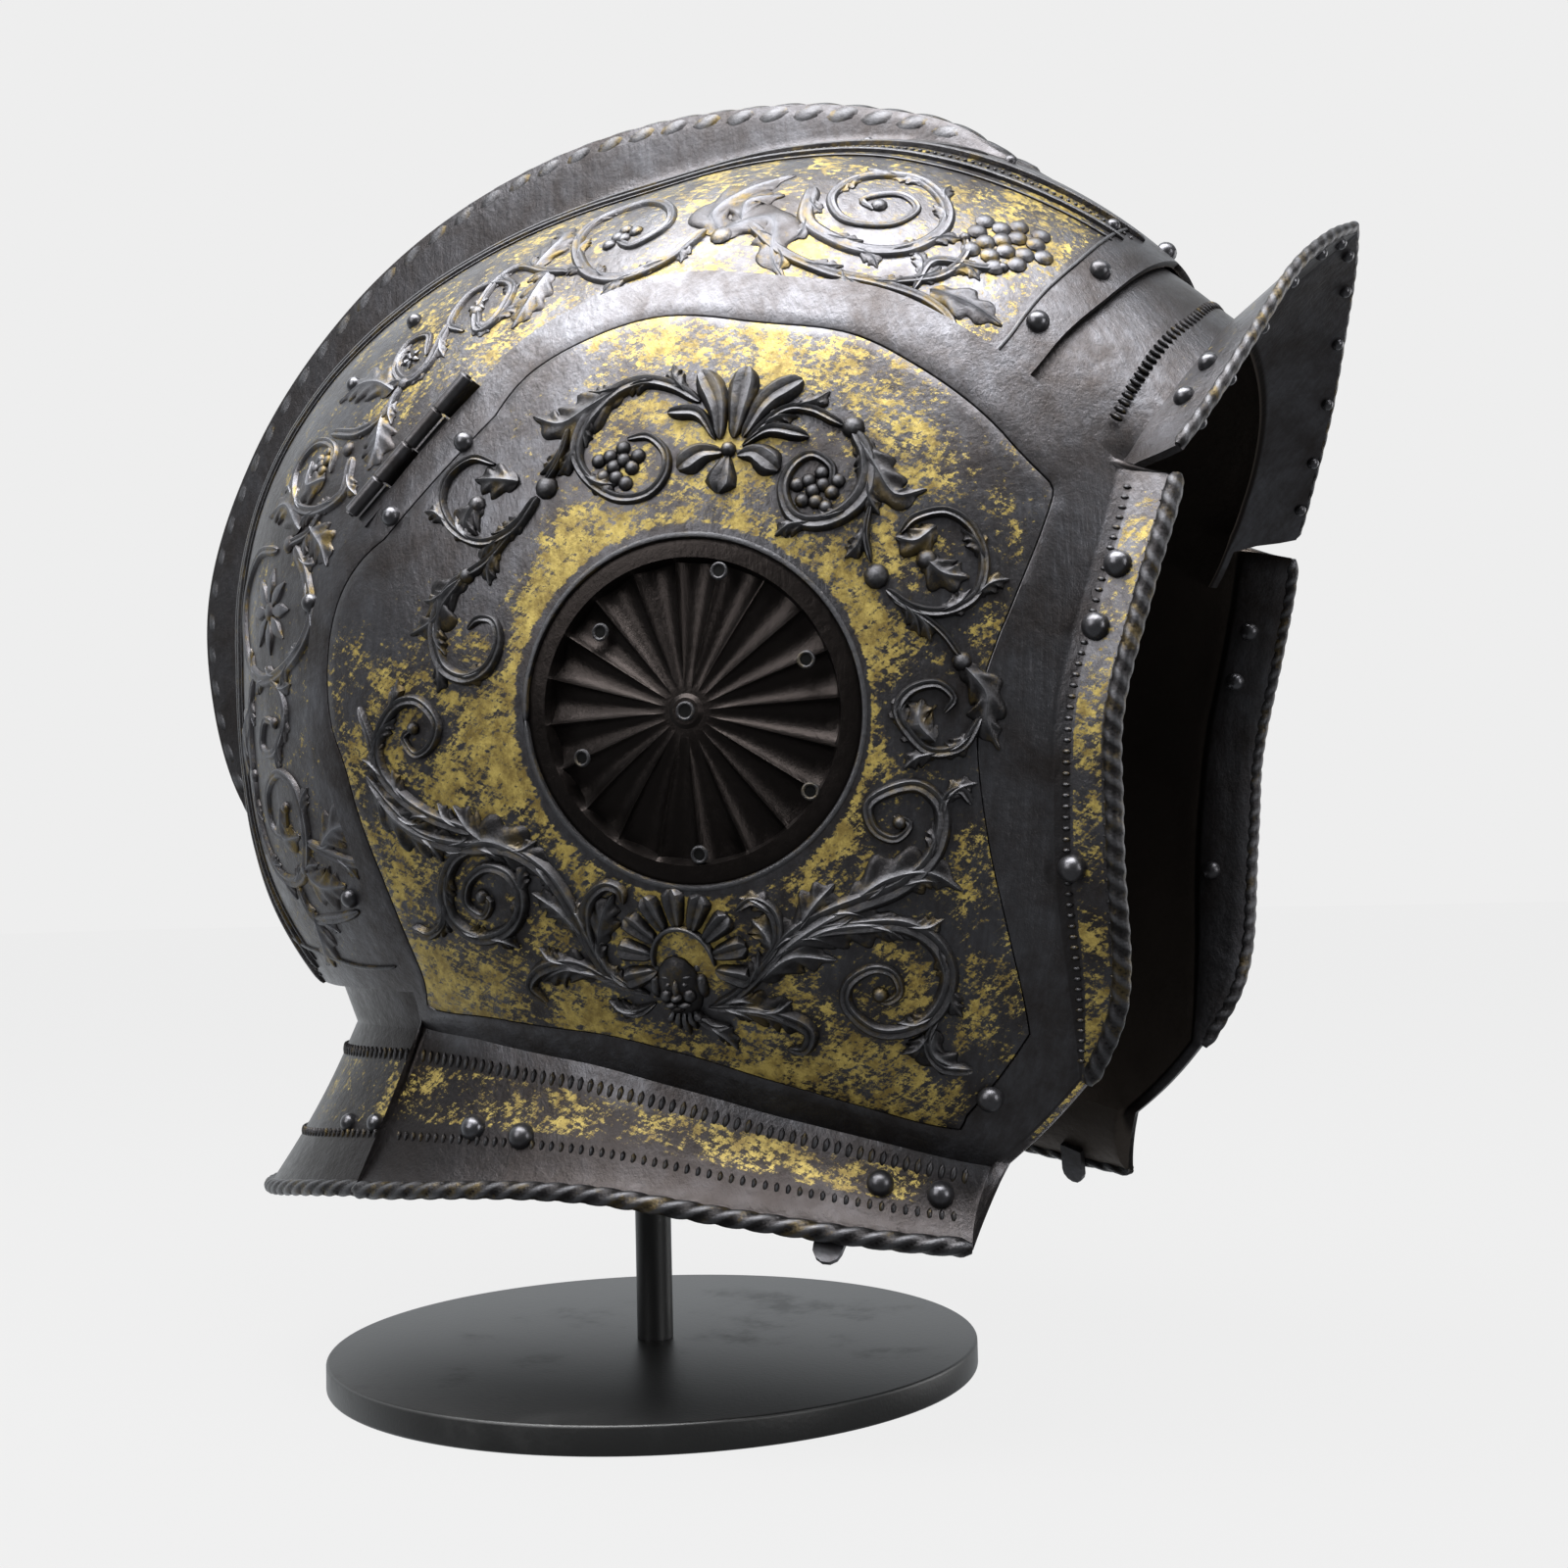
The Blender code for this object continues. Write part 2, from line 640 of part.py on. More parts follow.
def knuckle(name, index, on_cheek, slot, pivot, flip):
    """One hinge barrel with a small foot to the plate it belongs to."""
    way, outward, cheekward = hinge_frame()
    top, low = hinge_ends()
    length = (low - top).length / 4
    start = top + way * (length * index + GAP / 2)
    end = top + way * (length * (index + 1) - GAP / 2)
    middle = (start + end) / 2
    ground = side_point(middle.y, middle.z, 0.0)
    drop = (middle - ground).dot(side_normal(middle.y, middle.z)) - GAP - 0.25
    steps = 12
    ring = []
    for step in range(steps):
        turn = 2 * math.pi * step / steps
        ring.append((math.cos(turn), math.sin(turn)))
    contour = []
    for cheek_side, up_side in ring:
        x = KNUCKLE_R * cheek_side
        y = KNUCKLE_R * up_side
        if not on_cheek and up_side < -0.8:
            y = -max(drop, KNUCKLE_R)
        if on_cheek and cheek_side > 0.4 and up_side < -0.4:
            x = KNUCKLE_R + 0.35
            y = -max(drop, KNUCKLE_R) + 0.6 if up_side < -0.7 else -KNUCKLE_R * 0.35
        contour.append((x, y))
    points = []
    for place in (start, end):
        for (x, y), (u, v) in zip(contour, ring):
            points.append(place + cheekward * x + outward * y)
            points.append(place + cheekward * u * BORE_R + outward * v * BORE_R)
    faces = []
    far = steps * 2
    for step in range(steps):
        a = step * 2
        b = (step + 1) % steps * 2
        faces.append((a, b, b + 1, a + 1))
        faces.append((far + a, far + b, far + b + 1, far + a + 1))
        faces.append((a, b, far + b, far + a))
        faces.append((a + 1, b + 1, far + b + 1, far + a + 1))
    if flip:
        points = [mirrored(point) for point in points]
    return solid(name, points, faces, slot, pivot)


def make_hinge(side, slot, pivot, flip):
    """Four barrels, two on the bowl and two on the cheek, round one pin."""
    names = ("bowl_knuckle_upper", "cheek_knuckle_upper", "bowl_knuckle_lower", "cheek_knuckle_lower")
    for index, part in enumerate(names):
        on_cheek = index % 2 == 1
        knuckle(f"{side}_{part}", index, on_cheek, slot, pivot if on_cheek else None, flip)
    top, low = hinge_ends()
    way = (low - top).normalized()
    base = top - way * 0.3
    length = (low - top).length + 0.6
    if flip:
        base = mirrored(base)
        way = mirrored(way)
    turned(f"{side}_hinge_pin", ((PIN_R, 0.0), (PIN_R, length)), 10, slot, base, way)


def hinge_pivot(side, flip):
    """Empty in the middle of the hinge, on its axis."""
    top, low = hinge_ends()
    middle = (top + low) / 2
    pivot = bpy.data.objects.new(f"{side}_cheek_axis", None)
    pivot.location = (mirrored(middle) if flip else middle) * MM
    bpy.data.collections["parade_helmet"].objects.link(pivot)
    return pivot


def side_rivets(side, slot, pivot, flip):
    """Rivet heads of one side of the helmet."""
    def put(name, place, normal, radius, on_cheek):
        if flip:
            place = mirrored(place)
            normal = mirrored(normal)
        rivet(f"{side}_{name}", place, normal, radius, slot, pivot if on_cheek else None)

    for number, (back, over, radius) in enumerate(SKULL_RIVETS, 1):
        y, z = beside_centre(back, over)
        put(f"skull_rivet_{number}", side_point(y, z, 0.0), side_normal(y, z), radius, False)
    for number, (angle, tilt, radius) in enumerate(BROW_RIVETS[:2], 1):
        place = bowl_point(angle, tilt, 0.0)
        put(f"brow_rivet_{number}", place, bowl_normal(angle, tilt), radius, False)
    for number, (back, over, radius) in enumerate(CHEEK_RIVETS, 1):
        y, z = beside_centre(back, over)
        put(f"cheek_rivet_{number}", side_point(y, z, OVER), side_normal(y, z), radius, True)
    for number, (share, reach) in enumerate(FLANGE_RIVETS, 1):
        place = polar(*spread(CHEEK_CREASE, share))
        out, forward, up = along(FLANGE, share)
        way = Vector((-out, -forward, up)) * FLANGE_W
        face = way.cross(Vector((0, 0, 1))).normalized()
        if face.x > 0:
            face.negate()
        middle = side_point(place.x, place.y, OVER) + way * reach + face * 0.25
        put(f"flange_rivet_{number}", middle, face, 3.0, True)
    for number, (share, reach, radius) in enumerate(COLLAR_RIVETS, 1):
        put(f"collar_rivet_{number}", *collar_place(share, reach), radius, True)
    for number, (turn, radius) in enumerate(NAPE_RIVETS, 1):
        outer, _ = nape_column(turn)
        beside, _ = nape_column(turn + 1.0)
        middle = outer[3].lerp(outer[4], 0.9)
        normal = (outer[5] - outer[4]).cross(beside[4] - outer[4]).normalized()
        if normal.x > 0:
            normal.negate()
        put(f"nape_rivet_{number}", middle + normal * 0.3, normal, radius, False)
    for number, share in enumerate(BROW_BAND_RIVETS, 1):
        outer, inner = brow_column(share, 0.0)
        middle = outer[4].lerp(outer[5], 0.35)
        put(f"brow_band_rivet_{number}", middle, (outer[4] - inner[4]).normalized(), 2.4, False)


def collar_place(share, reach):
    """Place and outward direction on the flat band of the cheek's collar."""
    waist = polar(*spread(CHEEK_WAIST, share))
    near = polar(*spread(CHEEK_WAIST, share + 0.02))
    start = side_point(waist.x, waist.y, OVER)
    rim = waist_rim(share)
    beside = side_point(near.x, near.y, OVER)
    middle = start.lerp(rim, reach)
    normal = (rim - start).cross(beside - start).normalized()
    if normal.x > 0:
        normal.negate()
    return middle, normal


def middle_rivets(slot):
    """Rivet heads on the middle plane."""
    angle, tilt, radius = BROW_RIVETS[2]
    rivet("brow_rivet_middle", bowl_point(angle, tilt, 0.0), bowl_normal(angle, 0.01), radius, slot)


def strap_tongue(name, share, slot, pivot, flip):
    """Flat rounded tongue inside the collar, close to its wall, with its end below the rim."""
    top, normal = collar_place(share, 0.7)
    low, _ = collar_place(share, 1.0)
    down = (low - top).normalized()
    across = down.cross(normal).normalized()
    half = TONGUE_W / 2
    length = (low - top).length + TONGUE_DROP
    outline = [(-half, 0.0), (half, 0.0)]
    for step in range(7):
        turn = math.pi * step / 6
        outline.append((half * math.cos(turn), length - half + half * math.sin(turn)))
    points = []
    for depth in (PLATE + GAP, PLATE + GAP + TONGUE_T):
        points += [top + across * x + down * y - normal * depth for x, y in outline]
    if flip:
        points = [mirrored(point) for point in points]
    count = len(outline)
    faces = [tuple(range(count)), tuple(range(count, 2 * count))]
    for step in range(count):
        after = (step + 1) % count
        faces.append((step, after, count + after, count + step))
    solid(name, points, faces, slot, pivot)


def make_stand(slot):
    """Plain disc and the rod that carries the helmet on a round pad under the crown."""
    up = Vector((0, 0, 1))
    disc = (
        (DISC_R - DISC_EDGE, 0.0), (DISC_R, DISC_EDGE),
        (DISC_R, DISC_T - DISC_EDGE), (DISC_R - DISC_EDGE, DISC_T),
    )
    turned("stand_base", disc, 48, slot, Vector((0, 0, 0)), up)
    top = SKULL_Z + bowl_radius(90.0) - PLATE - PAD_DROP
    rod = (
        (POST_R, DISC_T + 0.05), (POST_R, top - PAD_ROUND - PAD_EDGE - PAD_CONE),
        (PAD_R, top - PAD_ROUND - PAD_EDGE), (PAD_R, top - PAD_ROUND),
        (PAD_R * 0.55, top - PAD_ROUND * 0.32), (0.0, top),
    )
    turned("stand_post", rod, 12, slot, Vector((0, 0, 0)), up)


def clear():
    """Empty the scene."""
    for thing in list(bpy.data.objects):
        bpy.data.objects.remove(thing, do_unlink=True)


def main():
    clear()
    group = bpy.data.collections.new("parade_helmet")
    bpy.context.scene.collection.children.link(group)
    patina = material("patinated_steel", PATINA, 0.9, 0.4)
    dark = material("dark_steel", DARK_STEEL, 0.9, 0.45)
    black = material("matt_black", MATT_BLACK, 0.0, 0.6)
    make_stand(black)
    make_skull(patina)
    make_brow(patina)
    make_nape(patina)
    right = hinge_pivot("right", False)
    left = hinge_pivot("left", True)
    for side, pivot, flip in (("right", right, False), ("left", left, True)):
        make_cheek(f"{side}_cheek", patina, pivot, flip)
        make_hinge(side, dark, pivot, flip)
        side_rivets(side, dark, pivot, flip)
    middle_rivets(dark)
    strap_tongue("right_strap_peg", PEG_SHARE, dark, right, False)
    strap_tongue("left_strap_hook", HOOK_SHARE, dark, left, True)


main()
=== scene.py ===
# Looks of a parade helmet on its stand: embossed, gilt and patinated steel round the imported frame.
# Lengths in the tables are millimetres in the frame's own axes: the helmet faces -Y, right is -X.

import math

import bmesh
import bpy
import numpy as np
from mathutils import Matrix, Vector


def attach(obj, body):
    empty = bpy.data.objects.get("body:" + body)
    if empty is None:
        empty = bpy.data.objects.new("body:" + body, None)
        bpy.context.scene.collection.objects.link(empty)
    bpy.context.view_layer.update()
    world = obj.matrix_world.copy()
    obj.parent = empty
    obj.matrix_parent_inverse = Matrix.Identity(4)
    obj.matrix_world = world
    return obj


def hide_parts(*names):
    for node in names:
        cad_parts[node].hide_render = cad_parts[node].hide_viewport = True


MM = 0.001

# Camera: place, right, up and forward directions, lens on a 36 mm sensor
CAMERA_PLACE = (-0.446181, -0.259484, 0.121961)
CAMERA_RIGHT = (0.43956, -0.89789, -0.02415)
CAMERA_UP = (-0.04372, -0.04825, 0.99788)
CAMERA_AHEAD = (0.89715, 0.43757, 0.06046)
CAMERA_LENS = 43.875

# Stand
DISC_R = 85.0
DISC_T = 7.0
DISC_EDGE = 0.8
POST_R = 4.75
PAD_R = 22.0
PAD_TOP_Z = 304.3

# Plates, as in the frame
PLATE = 1.8
GAP = 0.35
STEP = PLATE + GAP
LAP = STEP + 0.7
OVER = STEP + 0.5

# Bowl: centre of its side view, the radius its sections are shares of and its half width
SKULL_Y = -8.0
SKULL_Z = 190.0
SKULL_R = 170.0
SKULL_W = 93.0
COMB_H = 36.5
COMB_FOOT = 12.0

# Face flange, roundel and collar
FLANGE_W = 14.0
ROUNDEL_R = 38.5
ROUNDEL_Y = -62.6
ROUNDEL_Z = 162.7
HOLE_R = 1.8
FLUTES = 20
RIM_W = 80.0
RIM_REAR = 121.0
RIM_FRONT = 155.0
WAIST_CURVE = 1.6

# Middle plane of the bowl: angle from the front upward, radius as a share of SKULL_R
PROFILE = (
    (-49, 1.141), (-34, 1.106), (-22, 1.059), (-10, 1.047), (8, 1.035), (23, 0.988), (36, 0.941),
    (50, 0.882), (64, 0.800), (78, 0.729), (90, 0.700), (105, 0.688), (120, 0.694), (136, 0.712),
    (154, 0.729), (170, 0.729), (183, 0.724), (196, 0.741), (206, 0.765), (214, 0.782),
    (222, 0.788), (235, 0.788), (251, 0.788), (265, 0.829), (280, 0.894), (299, 1.012),
    (311, 1.141), (326, 1.106), (338, 1.059),
)
# Comb: angle and height as a share of COMB_H
COMB = (
    (36, 0.0), (42, 0.0), (49, 0.08), (56, 0.25), (64, 0.38), (75, 0.55), (90, 0.68), (120, 0.79),
    (136, 0.82), (154, 0.90), (170, 1.0), (180, 0.945), (188, 0.82), (194, 0.66), (200, 0.41),
    (207, 0.14), (213, 0.0), (220, 0.0),
)
# Comb section: distance out and height share of the outer face, then of the inner face
COMB_SECTION = (
    (0.0, 1.0, 0.0, 1.0),
    (3.2, 0.97, 1.5, 0.97),
    (4.0, 0.80, 2.2, 0.80),
    (5.0, 0.35, 3.2, 0.35),
    (7.5, 0.10, 6.0, 0.09),
    (COMB_FOOT, 0.0, 11.0, 0.0),
)
# Bowl borders: tilt from the middle plane and angle of the front and rear edges
FRONT_EDGE = ((0, 29.8), (16.5, 27.3), (25.5, 25.0), (34, 22.2), (40.5, 18.7), (46, 16.0))
REAR_EDGE = ((0, 221.0), (20, 223.5), (31, 229.5), (40, 239.0), (45, 249.0), (48, 254.0))
# Hidden lower edge of the bowl: angle, distance from the centre as a share of SKULL_R
LOWER_EDGE = (
    (16, 0.700), (25, 0.650), (33, 0.590), (43, 0.510), (57, 0.420), (68, 0.350), (82, 0.280),
    (93, 0.250), (120, 0.190), (143, 0.170), (169, 0.170), (193, 0.200), (209, 0.230),
    (224, 0.270), (240, 0.350), (249, 0.460), (254, 0.525),
)
# Brow plate from the middle to the side: angle and tilt of each line over the plate
BROW_SEAM = ((29.8, 0), (29.0, 8.5), (27.3, 16.5), (25.0, 25.5), (22.2, 34), (18.7, 40.5))
BROW_LINE = ((24.6, 0), (23.6, 7), (22.0, 14), (19.7, 22.5), (16.0, 30), (11.0, 36.7))
BROW_CREASE = ((22.7, 0), (21.5, 7.5), (19.4, 15), (16.2, 23.5), (12.8, 30), (9.9, 33.6))
BROW_TAIL = ((13.5, 46.0), (7.5, 42.5), (5.5, 39.5))
# Edge of the peak: out, forward and up from the bowl's centre as shares of SKULL_R
PEAK_EDGE = (
    (0.0, 1.071, 0.488), (0.080, 1.052, 0.453), (0.165, 1.022, 0.392), (0.240, 0.988, 0.300),
    (0.306, 0.951, 0.207), (0.362, 0.927, 0.142),
)
# Cheek border in the side view: angle and distance as a share of SKULL_R
CHEEK_REAR = (
    (250.0, 0.608), (248.9, 0.537), (238.5, 0.424), (221.4, 0.338), (206.6, 0.312),
    (191.5, 0.288), (168.9, 0.256), (143.3, 0.208),
)
CHEEK_TOP = (
    (88.0, 0.298), (81.0, 0.358), (69.2, 0.429), (58.0, 0.499), (44.0, 0.578), (33.8, 0.665),
    (26.1, 0.717), (18.7, 0.767), (12.9, 0.804), (8.4, 0.841),
)
CHEEK_CREASE = (
    (8.4, 0.841), (-1.1, 0.800), (-10.9, 0.778), (-19.6, 0.794), (-27.5, 0.836), (-34.3, 0.901),
    (-40.3, 0.977),
)
CHEEK_CORNER = ((-40.3, 0.977), (-44.9, 0.977), (-50.0, 0.974))
CHEEK_WAIST = (
    (-50.0, 0.974), (-55.4, 0.868), (-62.0, 0.775), (-70.2, 0.689), (-81.6, 0.621),
    (-97.3, 0.593), (-110.0, 0.608),
)
# Flange from its top to the throat: share of the way, then out, forward and up by FLANGE_W
FLANGE = (
    (0.0, 0.07, 0.96, -0.22), (0.2, 0.07, 0.93, -0.2), (0.4, 0.05, 0.92, -0.25),
    (0.6, 0.0, 1.0, 0.0), (0.85, -0.12, 0.8, -0.2), (1.0, -0.02, 0.14, -0.08),
)
# Height of the collar's rim: place from front to rear, height
RIM_Z = (
    (-120, 46), (-113, 47), (-95, 49), (-66, 53), (-27, 57.5), (30, 55), (64, 52), (96, 48), (115, 46),
)
# Nape plate: height, half width and depth behind the bowl's centre, turn where it ends
NAPE_RINGS = ((114.0, 72.6, 104.6), (103.0, 66.6, 96.8), (92.0, 62.5, 93.0))
NAPE_TURN = 75.0
# Rivets: place from the photo's side view (front to back, height), head radius
SKULL_RIVETS = ((26.2, 268.0, 2.2), (40.9, 252.8, 2.2), (42.4, 196.1, 2.4), (40.0, 124.9, 2.4))
BROW_RIVETS = ((24.2, 35.5, 2.6), (27.7, 23.9, 2.6), (31.3, 0.0, 2.6))
CHEEK_RIVETS = ((-7.2, 227.8, 2.4), (12.0, 212.5, 2.4), (-117.5, 78.5, 2.9))
FLANGE_RIVETS = ((0.14, 0.42), (0.235, 0.34), (0.645, 0.3))
COLLAR_RIVETS = ((9.0, 0.57, 3.2), (-6.0, 0.6, 3.2), (-92.0, 0.42, 3.0), (-105.0, 0.42, 3.0))
NAPE_RIVETS = ((55.0, 2.4), (62.5, 2.4))
BROW_BAND_RIVETS = (0.63, 0.75)
# Small rivet ends inside the peak's edge, as shares of the way from the middle to its side
PEAK_DOTS = (0.08, 0.24, 0.4, 0.56, 0.72, 0.88)
# Further rivets of the bowl: angle, tilt, head radius
BAND_RIVETS = ((46.0, 8.0, 1.7), (33.0, 13.0, 1.7), (58.0, 15.0, 1.5))

# Dense grids: steps for each of the frame's own columns and rows
CHEEK_FINE = 15
SKULL_ROW_FINE = 6
SKULL_SIDE_FINE = 8
COMB_FINE = 4

# Inset of the cheek's cut line from its border: column of the frame's grid, distance
CUT_LINE = (
    (0, 6.0), (3, 6.0), (7, 7.5), (10, 9.0), (14, 10.5), (18, 11.0), (19.5, 12.0), (20.0, 13.0),
    (22, 14.5), (26, 14.0), (28, 12.5), (29.5, 10.0), (30.5, 9.0), (38, 8.5), (39, 6.0),
)


# Tilt of the first moulding beside the comb at angles from the front
MOULDING = (
    (24, 7.0), (30, 9.0), (45, 16.0), (55, 18.0), (70, 19.5), (90, 21.5), (117, 27.0), (140, 31.0),
    (170, 33.0), (200, 31.0), (221, 27.0), (232, 24.0),
)
MOULDING_STEP = 5.2
# How far below zero the relief level goes, turning plain steel towards the patina colour: painted shade on the comb's
# sides and on the collar; darker plain steel beside the gilt bands of the flange and the nape, painted shade on the
# nape
COMB_PAINTED_SHADE = 0.28
EDGE_DARK = 0.28
COLLAR_PAINTED_SHADE = 0.2
# Tilt up to which the comb's sides get the painted shade, tilt of the plain strip beside the comb, and plain bands at
# the front and rear edges in degrees
COMB_SHADE = 5.6
COMB_STRIP = 9.0
FRONT_BAND = 4.2
REAR_BAND = 8.0

# Colours of the finishes; the hollow colour and the patina colour also serve as painted shade
BLACK_STEEL = (0.040, 0.035, 0.034)
BLUE_STEEL = (0.108, 0.109, 0.120)
# Near-black colour of the chased ornament's painted hollow shade, also the dark end of its mottle
HOLLOW_SHADE_STEEL = (0.010, 0.009, 0.009)
DULL_STEEL = (0.055, 0.053, 0.056)
WORN_STEEL = (0.082, 0.082, 0.088)
INSIDE_STEEL = (0.070, 0.058, 0.050)
# Patina colour, also used for painted shade on the comb's sides, the collar and the nape
PATINA_AND_SHADE = (0.017, 0.014, 0.013)
# Where the collar's painted shade, in the patina colour, starts: height in metres, and its rise towards the rear
COLLAR_TOP = 0.0878
COLLAR_SLOPE = 0.216
DEEP_GOLD = (0.135, 0.093, 0.022)
PALE_GOLD = (0.35, 0.27, 0.072)
# Surroundings: brightness behind the object, of light from above and from below, floor
BACK_LEVEL = 0.855
FRONT_LEVEL = 0.092
FAR_LEVEL = 0.85
SKY_LEVEL = 0.62
GROUND_LEVEL = 0.17
FAR_SIDE = (0.62, 0.78, 0.0)
FLOOR_TONE = 0.01
FLOOR_GLOW = 0.835
FLOOR_REACH = 12.0
# Lights: name, place, aim, size and power
LAMPS = (
    ("top light", (-0.32, 0.05, 1.05), (-0.03, 0.0, 0.2), (0.95, 0.65), 31.0),
    ("side light", (-1.05, 0.35, 0.75), (0.0, 0.0, 0.2), (0.6, 0.8), 8.0),
    ("brow light", (-0.22, -0.62, 1.2), (0.0, -0.1, 0.27), (0.7, 0.5), 8.5),
    ("face light", (-0.35, -1.25, 0.35), (0.04, -0.1, 0.24), (0.4, 0.6), 4.5),
    ("peak light", (1.0, -1.05, 0.3), (0.0, -0.15, 0.28), (0.7, 0.9), 7.0),
)

# Hinge: ends behind and over the bowl's centre as shares of SKULL_R, lift of its axis, barrels, leaves
HINGE_ENDS = ((0.0082, 0.3171), (0.1859, 0.1441))
HINGE_LIFT = 5.1
BARREL_R = 1.7
LEAF_T = 1.1
LEAF_REACH = 3.6

# Fullness of the scrollwork: widths of stems and leaves, forward lean of a leaf's lobes
STEM_WIDE = 1.3
LEAF_WIDE = 1.5
LEAF_LEAN = 0.55
TAPER = 3.0
SPRIG_STEP = 8
SPRIG_LEAN = 17.0
SPRIG_PART = 0.6

# Scrollwork of the cheek in the side view: widths along the line, then its places
CHEEK_STEMS = (
    ((2.2, 3.0, 4.2, 2.4, 2.2, 2.0, 1.6), ((-66, 230), (-60, 234), (-53, 236), (-46, 234), (-40, 228),
     (-38, 221), (-41, 215), (-48, 210), (-55, 210), (-59, 214), (-59, 219), (-55, 223), (-50, 223))),
    ((1.6, 1.4, 1.6), ((-36, 227), (-34, 220), (-31, 215))),
    ((2.2, 2.0, 1.6), ((-29, 212), (-23, 205), (-15, 203), (-7, 207), (-3, 214), (-5, 220), (-11, 223), (-17, 221))),
    ((1.4, 1.5, 2.6), ((-28, 210), (-22, 204), (-17, 199), (-11, 196))),
    ((3.4, 3.0, 2.4, 1.6), ((-10, 196), (-4, 190), (-2, 183), (-4, 176), (-10, 173), (-16, 175), (-19, 180),
     (-18, 185), (-14, 186), (-11, 184))),
    ((1.8, 2.0, 2.2), ((-77, 220), (-84, 226), (-90, 226), (-97, 222))),
    ((3.0, 4.2, 3.0, 2.2, 1.6), ((-99, 221), (-102, 215), (-102, 208), (-98, 203), (-92, 201), (-87, 203),
     (-85, 209), (-87, 214), (-91, 216), (-95, 213), (-95, 209))),
    ((1.5, 1.4, 1.5), ((-103, 204), (-102, 198), (-103, 192))),
    ((2.2, 2.2, 1.8), ((-106, 186), (-111, 182), (-117, 181), (-123, 184), (-125, 191), (-123, 198), (-118, 202),
     (-112, 201), (-109, 198))),
    ((1.6, 1.5, 1.6), ((-107, 184), (-113, 180), (-117, 176), (-120, 171))),
    ((2.0, 2.4, 2.2, 1.6), ((-123, 159), (-119, 153), (-113, 152), (-109, 156), (-107, 161), (-110, 165),
     (-115, 166), (-118, 163), (-116, 160))),
    ((3.0, 3.2, 2.6, 2.2, 1.4), ((-8, 139), (4, 143), (12, 148), (17, 154), (17, 161), (11, 168), (4, 169),
     (-1, 164), (1, 159), (6, 157), (9, 161), (6, 163))),
    ((2.2, 1.6), ((18, 152), (19, 161), (22, 169))),
    ((1.8, 3.6, 4.0, 3.6, 3.0, 2.4), ((22, 153), (15, 145), (8, 139), (-3, 136), (-16, 135), (-25, 130),
     (-30, 123), (-33, 115), (-37, 107), (-45, 102))),
    ((2.2, 3.4, 3.2, 2.8, 2.2, 1.6), ((-9, 136), (-1, 133), (4, 126), (3, 119), (-4, 115), (-13, 117), (-18, 123),
     (-16, 129), (-10, 131), (-4, 128), (-2, 123), (-6, 120), (-9, 123), (-7, 125))),
    ((1.8, 2.2, 2.6), ((4, 125), (6, 119), (12, 116), (17, 118))),
    ((2.2, 3.0, 2.2), ((-38, 105), (-34, 114), (-35, 122), (-40, 126), (-44, 125), (-44, 122))),
    ((1.6, 2.6, 3.4, 2.0), ((-46, 102), (-38, 105), (-29, 109), (-20, 108), (-15, 104), (-18, 100))),
    ((1.4, 2.4, 1.6), ((-47, 100), (-42, 98), (-37, 99))),
    ((2.2, 2.8, 4.0, 4.2, 3.4, 2.8, 2.2, 1.4), ((-61, 99), (-68, 102), (-76, 108), (-82, 114), (-89, 118),
     (-97, 121), (-105, 124), (-111, 129), (-114, 135), (-114, 141), (-110, 145), (-104, 144), (-100, 141),
     (-101, 136), (-105, 134), (-108, 137), (-105, 139))),
    ((1.8, 1.8, 2.4), ((-114, 137), (-115, 142), (-118, 144), (-120, 141))),
    ((2.0, 2.8, 2.0), ((-75, 108), (-79, 113), (-79, 119), (-75, 122), (-71, 120))),
    ((2.4, 3.4, 3.6, 3.4, 2.8, 2.2, 1.6), ((-79, 112), (-87, 115), (-96, 116), (-105, 116), (-111, 112),
     (-113, 105), (-110, 98), (-104, 94), (-97, 94), (-92, 99), (-93, 104), (-98, 107), (-102, 106),
     (-103, 102), (-100, 100), (-98, 102))),
    ((1.8, 2.0, 2.8), ((-110, 97), (-107, 91), (-109, 86), (-115, 85))),
    ((1.6, 2.6, 3.4, 2.0), ((-60, 99), (-69, 99), (-78, 97), (-83, 94), (-81, 90), (-77, 90))),
    ((1.4, 2.4, 1.6), ((-56, 98), (-60, 95), (-64, 95))),
)
